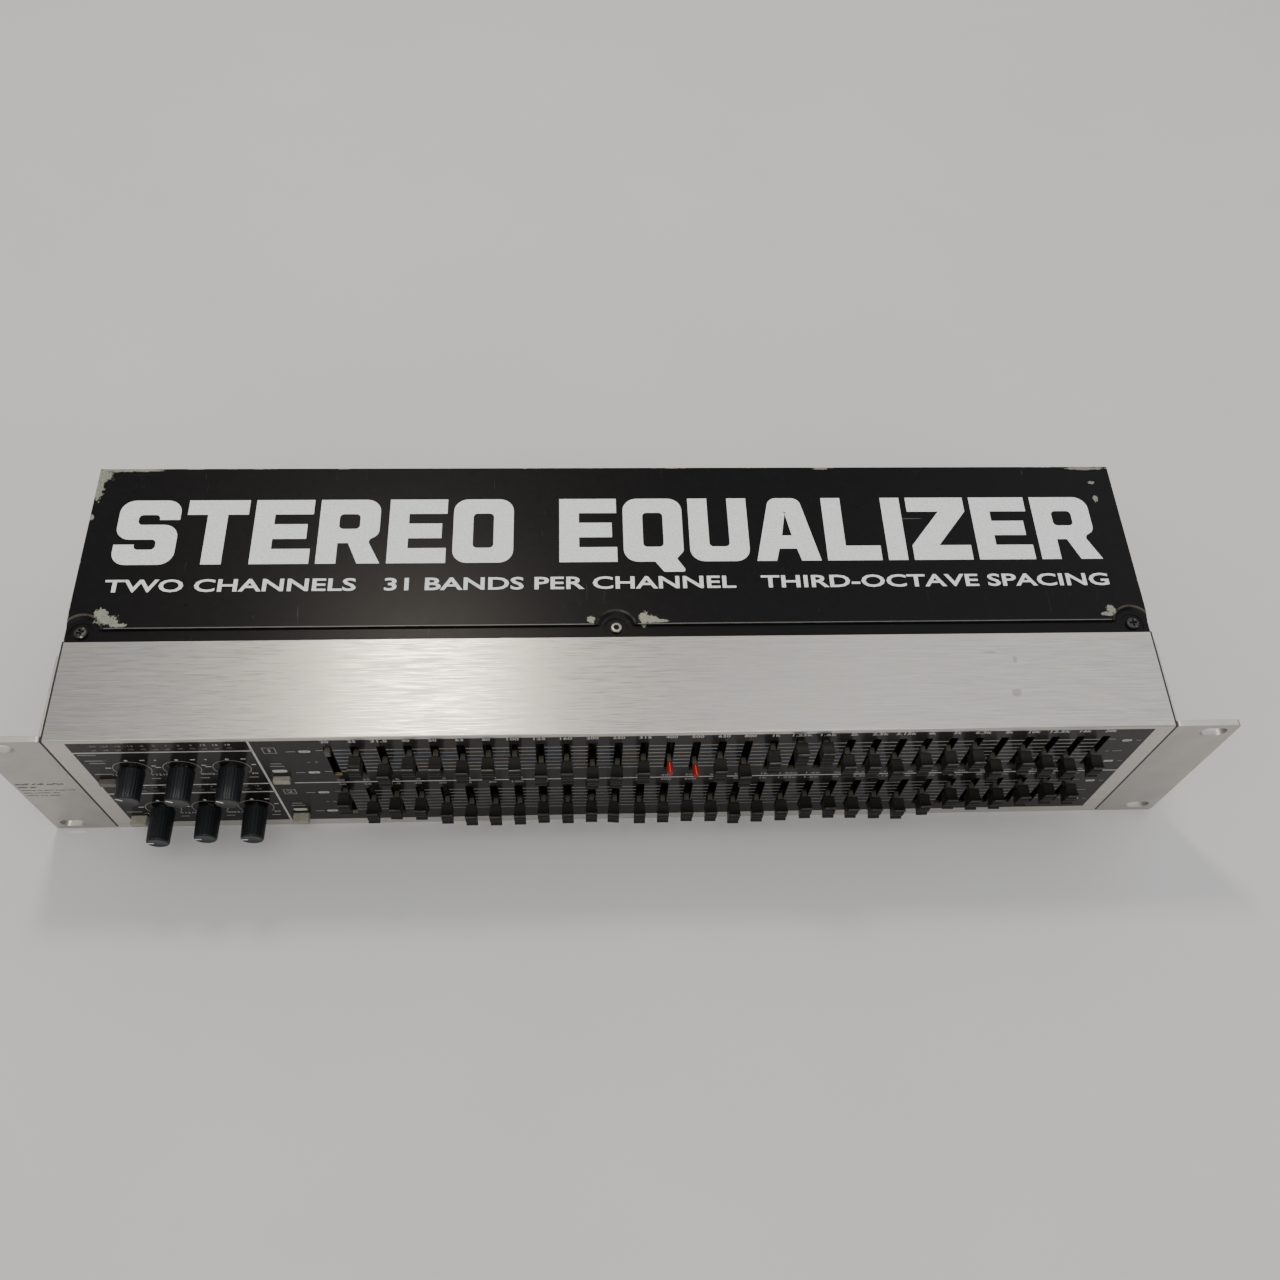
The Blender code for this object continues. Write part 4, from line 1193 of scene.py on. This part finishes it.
def lid_screws():
    """Two black pan heads at the sides and a bright one with a six-sided recess in the middle."""
    shank = turned([(0.0, -8.0), (1.4, -8.0), (1.4, 0.1), (0.0, 0.1)], 24)
    black_head, bright_head = screw_head(2.6, 1.1), socket_screw(2.2, 1.15)
    kinds = ((black_head, black_screw, "black_screw", 20), (bright_head, worn_screw, "worn_screw", 55),
             (black_head, black_screw, "black_screw", 5))
    for name, (head, metal, slot, turn) in zip(LID_SCREWS, kinds):
        node = f"lid_screw_{name}"
        place = centre(node)
        seat = (HEIGHT - 1.3) * MM
        stand = move((place.x, place.y, seat)) @ spin("Z", turn)
        solid = bmesh.new()
        add(solid, head, None, stand)
        add(solid, shank, 0, stand)
        piece(f"{node}_head", solid, [metal, shade_black], [node])


def soften(node, material, width):
    """A CAD node that stays, with its edges broken by width millimetres and its own material."""
    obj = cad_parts[node]
    obj.data.materials.clear()
    obj.data.materials.append(material)
    weld = obj.modifiers.new("weld", "WELD")
    weld.merge_threshold = 1e-6
    bevel = obj.modifiers.new("broken_edges", "BEVEL")
    bevel.width = width * MM
    bevel.segments = 2
    bevel.limit_method = "ANGLE"
    bevel.angle_limit = math.radians(30.0)
    obj.data.shade_smooth()
    even_out(obj)


def at_lid_screws(profile, steps):
    """A turned shape at each of the lid's screws, with its heights counted from the floor."""
    made = bmesh.new()
    for name in LID_SCREWS:
        place = centre(f"lid_screw_{name}")
        add(made, turned(profile, steps), 0, move((place.x, place.y, 0.0)))
    return made


def lid():
    """The folded and pressed lid: side walls, a lowered front edge and a dish round each screw."""
    shell = box(at(-SIDE, LID_STEP, WALL_FOOT), at(SIDE, DEPTH, HEIGHT))
    deep, raised = LID_LOW_TOP - LID_SHEET, HEIGHT + 1.0
    wide = DISH + (DISH - DISH_FLOOR) / (HEIGHT - LID_LOW_TOP)
    bowl = [(0.0, LID_LOW_TOP), (DISH_FLOOR, LID_LOW_TOP), (DISH, HEIGHT), (wide, raised), (0.0, raised)]
    shell = cut_away(shell, at_lid_screws(bowl, 64))
    front_edge = box(at(-SIDE, LID_FRONT, WALL_FOOT), at(SIDE, LID_STEP + 10.0, LID_LOW_TOP))
    shell = join_to(shell, front_edge)
    shell = cut_away(shell, box(at(LID_SHEET - SIDE, 0.0, -1.0), at(SIDE - LID_SHEET, DEPTH + 1.0, deep)))
    for side in (-1, 1):
        low, high = sorted((side * SIDE, side * (SIDE - LID_SHEET)))
        wall_high = at(high, LID_FRONT + 1.0, HEIGHT - SHEET - 0.3)
        shell = join_to(shell, box(at(low, WALL_START, WALL_FOOT), wall_high))
    floor = LID_LOW_TOP - DISH_WELL
    well = [(0.0, floor), (DISH_RING, floor), (DISH_RING, raised), (0.0, raised)]
    shell = broken_edges(cut_away(shell, at_lid_screws(well, 48)), 0.40, 24, 3)
    piece("lid_shell", shell, [black_paint], ["top_cover"], 40.0)


def side_edges():
    """Black strips in the gaps between the panel and the ears: the case's black steel, and painted shade in
    the gaps.
    """
    for name, side in (("left", -1), ("right", 1)):
        low, high = sorted((side * (PANEL_HALF - SIDE_GAP + 0.06), side * (SIDE + 0.15)))
        edge = box(at(low, 0.15, 0.5), at(high, LID_FRONT + 0.2, HEIGHT - 0.35), 0.1 * MM)
        piece(f"{name}_side_edge", edge, [tray_paint])


# The lid's letters, on a grid of their own: their height, width, stem, bar and corners' radii.
CAPS = 31.7
WIDE = 24.9
STEM = 8.2
BAR = 7.3
ROUND = 6.0
INSIDE = 1.8
MID_LOW, MID_HIGH = (CAPS - BAR) / 2, (CAPS + BAR) / 2
UNDER = CAPS - BAR
INNER = WIDE - STEM
STEM_LEFT, STEM_RIGHT = (WIDE - STEM) / 2, (WIDE + STEM) / 2
OUTER = [(0, 0, ROUND), (WIDE, 0, ROUND), (WIDE, CAPS, ROUND), (0, CAPS, ROUND)]
EYE = [(STEM, BAR, INSIDE), (INNER, BAR, INSIDE), (INNER, UNDER, INSIDE), (STEM, UNDER, INSIDE)]
# Each letter's width and its outlines, with corners of (x, y) or (x, y, radius).
LETTERS = {
    "S": (WIDE, [[(0, 0, ROUND), (WIDE, 0, ROUND), (WIDE, MID_HIGH, ROUND), (STEM, MID_HIGH, INSIDE),
                  (STEM, UNDER, INSIDE), (INNER, UNDER, INSIDE), (INNER, UNDER - 2.5), (WIDE, UNDER - 2.5),
                  (WIDE, CAPS, ROUND), (0, CAPS, ROUND), (0, MID_LOW, ROUND), (INNER, MID_LOW, INSIDE),
                  (INNER, BAR, INSIDE), (STEM, BAR, INSIDE), (STEM, BAR + 2.5), (0, BAR + 2.5)]]),
    "T": (WIDE, [[(STEM_LEFT, 0), (STEM_RIGHT, 0), (STEM_RIGHT, UNDER), (WIDE, UNDER), (WIDE, CAPS),
                  (0, CAPS), (0, UNDER), (STEM_LEFT, UNDER)]]),
    "E": (WIDE - 1, [[(0, 0), (WIDE - 1, 0), (WIDE - 1, BAR), (STEM, BAR), (STEM, MID_LOW),
                      (WIDE - 3, MID_LOW), (WIDE - 3, MID_HIGH), (STEM, MID_HIGH), (STEM, UNDER),
                      (WIDE - 1, UNDER), (WIDE - 1, CAPS), (0, CAPS)]]),
    "R": (WIDE + 1, [[(0, 0), (STEM, 0), (STEM, 10), (WIDE / 2, 10), (INNER, 0), (WIDE + 1, 0),
                      (WIDE - 4.6, 11.4, 2), (WIDE, 14, 4), (WIDE, CAPS, ROUND), (0, CAPS)],
                     [(STEM, 17, INSIDE), (INNER, 17, INSIDE), (INNER, UNDER, INSIDE),
                      (STEM, UNDER, INSIDE)]]),
    "O": (WIDE, [OUTER, EYE]),
    "Q": (WIDE, [[(0, 0, ROUND), (WIDE - 12, 0), (WIDE - 8.5, -5, 1), (WIDE + 1, -5, 1), (WIDE - 3, 1.5, 1),
                  (WIDE, 5, 3), (WIDE, CAPS, ROUND), (0, CAPS, ROUND)], EYE]),
    "U": (WIDE, [[(0, CAPS), (0, 0, ROUND), (WIDE, 0, ROUND), (WIDE, CAPS), (INNER, CAPS),
                  (INNER, BAR, INSIDE), (STEM, BAR, INSIDE), (STEM, CAPS)]]),
    "A": (WIDE + 2, [[(0, 0), (STEM, 0), (STEM + 1.6, 6), (WIDE + 0.4 - STEM, 6), (WIDE + 2 - STEM, 0),
                      (WIDE + 2, 0), (WIDE - 5, CAPS, 4), (7, CAPS, 4)],
                     [(STEM + 3.2, 12.6), (WIDE - 1.2 - STEM, 12.6), (WIDE - 3.4 - STEM, UNDER, 1),
                      (STEM + 5.4, UNDER, 1)]]),
    "L": (WIDE - 2, [[(0, 0), (WIDE - 2, 0), (WIDE - 2, BAR), (STEM, BAR), (STEM, CAPS), (0, CAPS)]]),
    "I": (STEM, [[(0, 0), (STEM, 0), (STEM, CAPS), (0, CAPS)]]),
    "Z": (WIDE, [[(0, 0), (WIDE, 0), (WIDE, BAR), (11.5, BAR), (WIDE, UNDER), (WIDE, CAPS), (0, CAPS),
                  (0, UNDER), (WIDE - 11.5, UNDER), (0, BAR)]]),
}
LETTER_GAP = 2.7
WORD_GAP = 19.0
BIG_WORDS = "STEREO EQUALIZER"
SMALL_WORDS = "TWO CHANNELS   31 BANDS PER CHANNEL   THIRD-OCTAVE SPACING"
# Where the big line starts and its letters stand, the length of both lines, and the small line's middle.
BIG_LINE = (-204.0, 77.6)
LINE_LENGTH = 407.5
SMALL_LINE = (-0.3, 67.6)


def eased(corners, steps=6):
    """The outline through corners, with those that have a radius rounded."""
    outline = []
    for number, corner in enumerate(corners):
        x, y, radius = (*corner, 0)[:3]
        if not radius:
            outline.append((x, y))
            continue
        here = Vector((x, y))
        before = (Vector(corners[number - 1][:2]) - here).normalized()
        after = (Vector(corners[(number + 1) % len(corners)][:2]) - here).normalized()
        half_angle = before.angle(after) / 2
        reach = radius / math.tan(half_angle)
        middle = here + (before + after).normalized() * radius / math.sin(half_angle)
        first, last = here + before * reach - middle, here + after * reach - middle
        turn = first.angle_signed(last)
        for step in range(steps + 1):
            angle = -turn * step / steps
            outline.append((middle.x + first.x * math.cos(angle) - first.y * math.sin(angle),
                            middle.y + first.x * math.sin(angle) + first.y * math.cos(angle)))
    return outline


def lettering():
    """The two painted lines of the lid, in plain words, and a painted highlight line along its step."""
    big = Print(ON_TOP, 0.04)
    space = WORD_GAP - LETTER_GAP
    length = sum(LETTERS[letter][0] + LETTER_GAP if letter != " " else space for letter in BIG_WORDS)
    scale = LINE_LENGTH / (length - LETTER_GAP)
    x, foot = BIG_LINE
    for letter in BIG_WORDS:
        if letter == " ":
            x += space * scale
            continue
        width, outlines = LETTERS[letter]
        flat = plate([eased(corners) for corners in outlines], 2 * big.thickness, 0.0)
        shift = move((x * MM, foot * MM, 0.0)) @ Matrix.Diagonal((scale, 1.0, 1.0, 1.0))
        bmesh.ops.transform(flat, matrix=shift, verts=flat.verts)
        big.lay(flat)
        x += (width + LETTER_GAP) * scale
    big.text(SMALL_WORDS, *SMALL_LINE, 6.0, width=LINE_LENGTH, bold=0.018)
    big.done("lid_lettering", [white_ink])

    # Painted highlight: a pale line along the step between the dishes.
    wear_and_highlight = Print(ON_TOP, 0.02)
    screw_x = [centre(f"lid_screw_{name}").x / MM for name in LID_SCREWS]
    for low, high in zip(screw_x, screw_x[1:]):
        wear_and_highlight.bar((low + high) / 2, LID_STEP + 0.24, high - low - 2 * DISH - 0.8, 0.4)
    wear_and_highlight.done("lid_step_highlight", [step_highlight_ink])


# ---------------------------------------------------------------- rear


# The rear's places, in x or in x and z, as in the CAD model's jack board, inlet and switch.
SOCKET_Z = 32.0
ROUND_INPUTS = (-188.0, -98.0)
ROUND_OUTPUTS = (-140.0, -50.0)
JACKS = ((-164.0, "IN"), (-116.0, "OUT"), (-74.0, "IN"), (-26.0, "OUT"))
SOCKET_GROUPS = ((-152.0, "1"), (-62.0, "2"))
# How far above the sockets' middles their words and each channel's line are.
ROUND_LABEL = 16.4
JACK_LABEL = 11.4
GROUP_LINE = 22.6
# The three poles of a round socket: degrees round its middle, and how far out.
POLE_TURNS = (90.0, 210.0, 330.0)
POLE_REACH = 3.9
# An input's metal latch: half its width, and how far above the socket's middle it starts and ends.
LATCH = (2.6, 9.4, 12.4)
# The mains inlet's middle and its three flat pins about it.
INLET = (165.0, 30.0)
INLET_PINS = ((0.0, 2.6), (-7.0, -1.6), (7.0, -1.6))
# The rocker's axis, its turn at rest in degrees, how far its two faces stand out from the axis, how far its
# marks are from the middle, and how much each face leans.
ROCKER_AXIS = (165.0, 121.43, 56.0)
ROCKER_TURN = -12.0
ROCKER_OUT = 5.7
ROCKER_MARK = 4.1
ROCKER_LEAN = 6.95
# The case's small screws: on the rear wall, about each round socket, and on both sides.
CASE_SCREWS = [(x, z) for x in (-209.0, 209.0) for z in (12.0, 76.0)]
SOCKET_SCREW = (9.6, 11.4)
SIDE_SCREWS_Y = (58.0, 114.0)
SIDE_SCREWS_Z = 13.0


def on_rear(x, z, out=0.0):
    """Stands a solid drawn on z = 0 on the rear wall, or on a face that lies out millimetres behind it."""
    return move(at(x, DEPTH + out, z)) @ spin("X", -90.0)


def ring_of(outer, inner, height, edge, sides=48):
    """A flat ring that stands on z = 0, with its upper edges cut by edge."""
    profile = [(inner, 0.0), (outer, 0.0), (outer, height - edge), (outer - edge, height),
               (inner + edge, height), (inner, height - edge), (inner, 0.0)]
    return turned(profile, sides)


def rear_sockets():
    """What the rear sockets show: collars, poles, holes and latches, the jacks' nuts and the mains pins."""
    collars, metal = bmesh.new(), bmesh.new()
    collar, hole = ring_of(10.8, 9.55, 0.7, 0.25, 64), ring_of(1.75, 1.05, 0.25, 0.08, 24)
    pin = turned([(0.0, -14.1), (0.95, -14.1), (0.95, -2.4), (0.6, -1.9), (0.0, -1.8)], 20)
    # Painted shade: a dark disc at the foot of each input pole's hole.
    floor = turned([(0.0, 0.0), (1.1, 0.0), (1.1, 0.08), (0.0, 0.08)], 20)
    half, foot, head = LATCH
    for x in ROUND_INPUTS + ROUND_OUTPUTS:
        add(collars, collar, 0, on_rear(x, SOCKET_Z))
        for turn in POLE_TURNS:
            pole_x = x + POLE_REACH * math.cos(math.radians(turn))
            pole_z = SOCKET_Z + POLE_REACH * math.sin(math.radians(turn))
            if x in ROUND_INPUTS:
                add(collars, hole, 0, on_rear(pole_x, pole_z, -1.0))
                add(collars, floor, 1, on_rear(pole_x, pole_z, -1.0))
            else:
                add(metal, pin, 0, on_rear(pole_x, pole_z))
        if x in ROUND_INPUTS:
            low = at(x - half, DEPTH + 0.1, SOCKET_Z + foot)
            add(metal, box(low, at(x + half, DEPTH + 1.3, SOCKET_Z + head), 0.35 * MM))
    stack = ((ring_of(7.1, 5.1, 0.4, 0.1), 0.0), (ring_of(6.7, 4.6, 1.0, 0.2, 6), 0.4),
             (ring_of(4.9, 3.4, 0.35, 0.12), 1.6))
    for x, _ in JACKS:
        for ring, out in stack:
            add(metal, ring, 0, on_rear(x, SOCKET_Z, out))
    face = (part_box("mains_inlet")[1].y - FRONT) / MM
    for across, up in INLET_PINS:
        x, z = INLET[0] + across, INLET[1] + up
        add(metal, box(at(x - 1.0, face - 16.1, z - 2.2), at(x + 1.0, face - 3.0, z + 2.2), 0.3 * MM))
    piece("socket_collars", collars, [socket_plastic, shade_black])
    piece("socket_metal", metal, [bright_metal])


def case_screws():
    """The small black screws that close the case: at the sockets, on the rear wall and on the sides."""
    head = screw_head(1.9, 0.8)
    screws = bmesh.new()
    across, down = SOCKET_SCREW
    for x in ROUND_INPUTS + ROUND_OUTPUTS:
        for side in (-1, 1):
            add(screws, head, None, on_rear(x + side * across, SOCKET_Z - side * down))
    for x, z in CASE_SCREWS:
        add(screws, head, None, on_rear(x, z))
    for side in (-1, 1):
        turn = spin("Y", side * 90.0)
        for y in SIDE_SCREWS_Y:
            add(screws, head, None, move(at(side * SIDE, y, SIDE_SCREWS_Z)) @ turn)
    piece("case_screws", screws, [black_screw, shade_black])


def rear_print():
    """Plain words and numbers at the rear sockets, and the rocker's two marks."""
    words = Print(ON_REAR)
    labels = [(x, "IN", ROUND_LABEL) for x in ROUND_INPUTS] + [(x, "OUT", ROUND_LABEL) for x in ROUND_OUTPUTS]
    labels += [(x, label, JACK_LABEL) for x, label in JACKS]
    for x, label, rise in labels:
        words.text(label, -x, SOCKET_Z + rise, 2.4, stretch=1.1, bold=0.01)
    for x, number in SOCKET_GROUPS:
        for side in (-1, 1):
            words.bar(-x + side * 22.5, SOCKET_Z + GROUP_LINE, 37.0, 0.5)
            words.bar(-x + side * 40.75, SOCKET_Z + GROUP_LINE - 1.1, 0.5, 2.2)
        words.text(number, -x, SOCKET_Z + GROUP_LINE, 3.4, stretch=1.1, bold=0.01)
    words.done("rear_marks", [pale_ink])

    marks = bmesh.new()
    bar, ring = small_box((-0.3, -1.5, 0.0), (0.3, 1.5, 0.06)), ring_of(1.6, 1.05, 0.06, 0.01, 32)
    turn = move(at(*ROCKER_AXIS)) @ spin("X", ROCKER_TURN)
    for side, mark in ((1, bar), (-1, ring)):
        face = move((0.0, ROCKER_OUT * MM, side * ROCKER_MARK * MM))
        lean = spin("X", -90.0 - side * ROCKER_LEAN)
        add(marks, mark, 0, turn @ face @ lean)
    piece("rocker_marks", marks, [pale_ink], body="power_rocker")


CARRIED = (("chassis_tray", tray_paint, 0.25), ("jack_board", socket_plastic, 0.2),
           ("mains_inlet", socket_plastic, 0.35), ("power_switch", socket_plastic, 0.4),
           ("fader_board", board_green, 0.15), ("control_board", board_green, 0.15),
           ("transformer", coil_tape, 0.6))


def carried_nodes():
    """The CAD nodes that show, or lie inside, in their own shapes."""
    for node, material, width in CARRIED:
        soften(node, material, width)


# ---------------------------------------------------------------- floor, light and camera


def stage():
    """A pale floor and an even grey-blue surround."""
    bpy.ops.mesh.primitive_plane_add(size=6.0, location=(0.0, 0.0, 0.0))
    floor = bpy.context.object
    floor.name = "floor"
    paint = Paint("floor_paint", (0.62, 0.60, 0.585), 0.75)
    cloud = paint.noise(120.0, detail=3.0)
    paint.drive("Base Color", paint.mix(cloud, (0.60, 0.58, 0.565), (0.65, 0.635, 0.62)))
    floor.data.materials.append(paint.material)
    world = bpy.data.worlds.new("studio")
    world.use_nodes = True
    background = world.node_tree.nodes["Background"]
    background.inputs["Color"].default_value = (0.80, 0.82, 0.86, 1.0)
    background.inputs["Strength"].default_value = 0.66
    bpy.context.scene.world = world


def area_light(name, place, target, size, power, colour):
    """A square lamp of a size in metres and a power in watts, aimed at target."""
    data = bpy.data.lights.new(name, "AREA")
    data.size = size
    data.energy = power
    data.color = colour
    lamp = linked(name, data)
    lamp.location = place
    lamp.rotation_euler = (Vector(target) - Vector(place)).to_track_quat("-Z", "Y").to_euler()


# The camera stands where its picture fits the equalizer's known sizes.
CAMERA_PLACE = Vector((-0.0174083, FRONT - 0.195696, 0.507574))
CAMERA_TURN = (0.5142010, -0.0411081, -0.0345134)
CAMERA_LENS = 34.295
# The middle of the strip's bright patch, and how far from it the lamp it mirrors hangs, in metres.
SHINE = at(-75.0, 20.0, HEIGHT)
SHINE_REACH = 1.3


def camera():
    """The camera at the equalizer's front, above it and a little to the left."""
    data = bpy.data.cameras.new("camera")
    data.lens = CAMERA_LENS
    data.sensor_width = 36.0
    made = linked("camera", data)
    made.location = CAMERA_PLACE
    made.rotation_euler = CAMERA_TURN
    bpy.context.scene.camera = made


def lights():
    """A large soft key from the front left, a fill, and a small warm lamp that the brushed strip mirrors."""
    away = CAMERA_PLACE - SHINE
    mirrored = Vector((-away.x, -away.y, away.z)).normalized()
    area_light("warm_lamp", SHINE + mirrored * SHINE_REACH, SHINE, 0.16, 5.4, (1.0, 0.91, 0.78))
    area_light("key", (-0.10, -0.55, 1.95), (0.0, 0.0, 0.0), 1.7, 16.0, (1.0, 0.98, 0.95))
    area_light("fill", (0.90, 0.45, 1.45), (0.0, 0.0, 0.0), 1.4, 5.0, (0.97, 0.98, 1.0))


for build in (camera, front_panel, panel_print, control_print, sliders, knobs, buttons, rack_ears, ear_print,
              lid_screws, carried_nodes, rear_sockets, case_screws, rear_print, lid, side_edges, lettering,
              stage, lights):
    build()
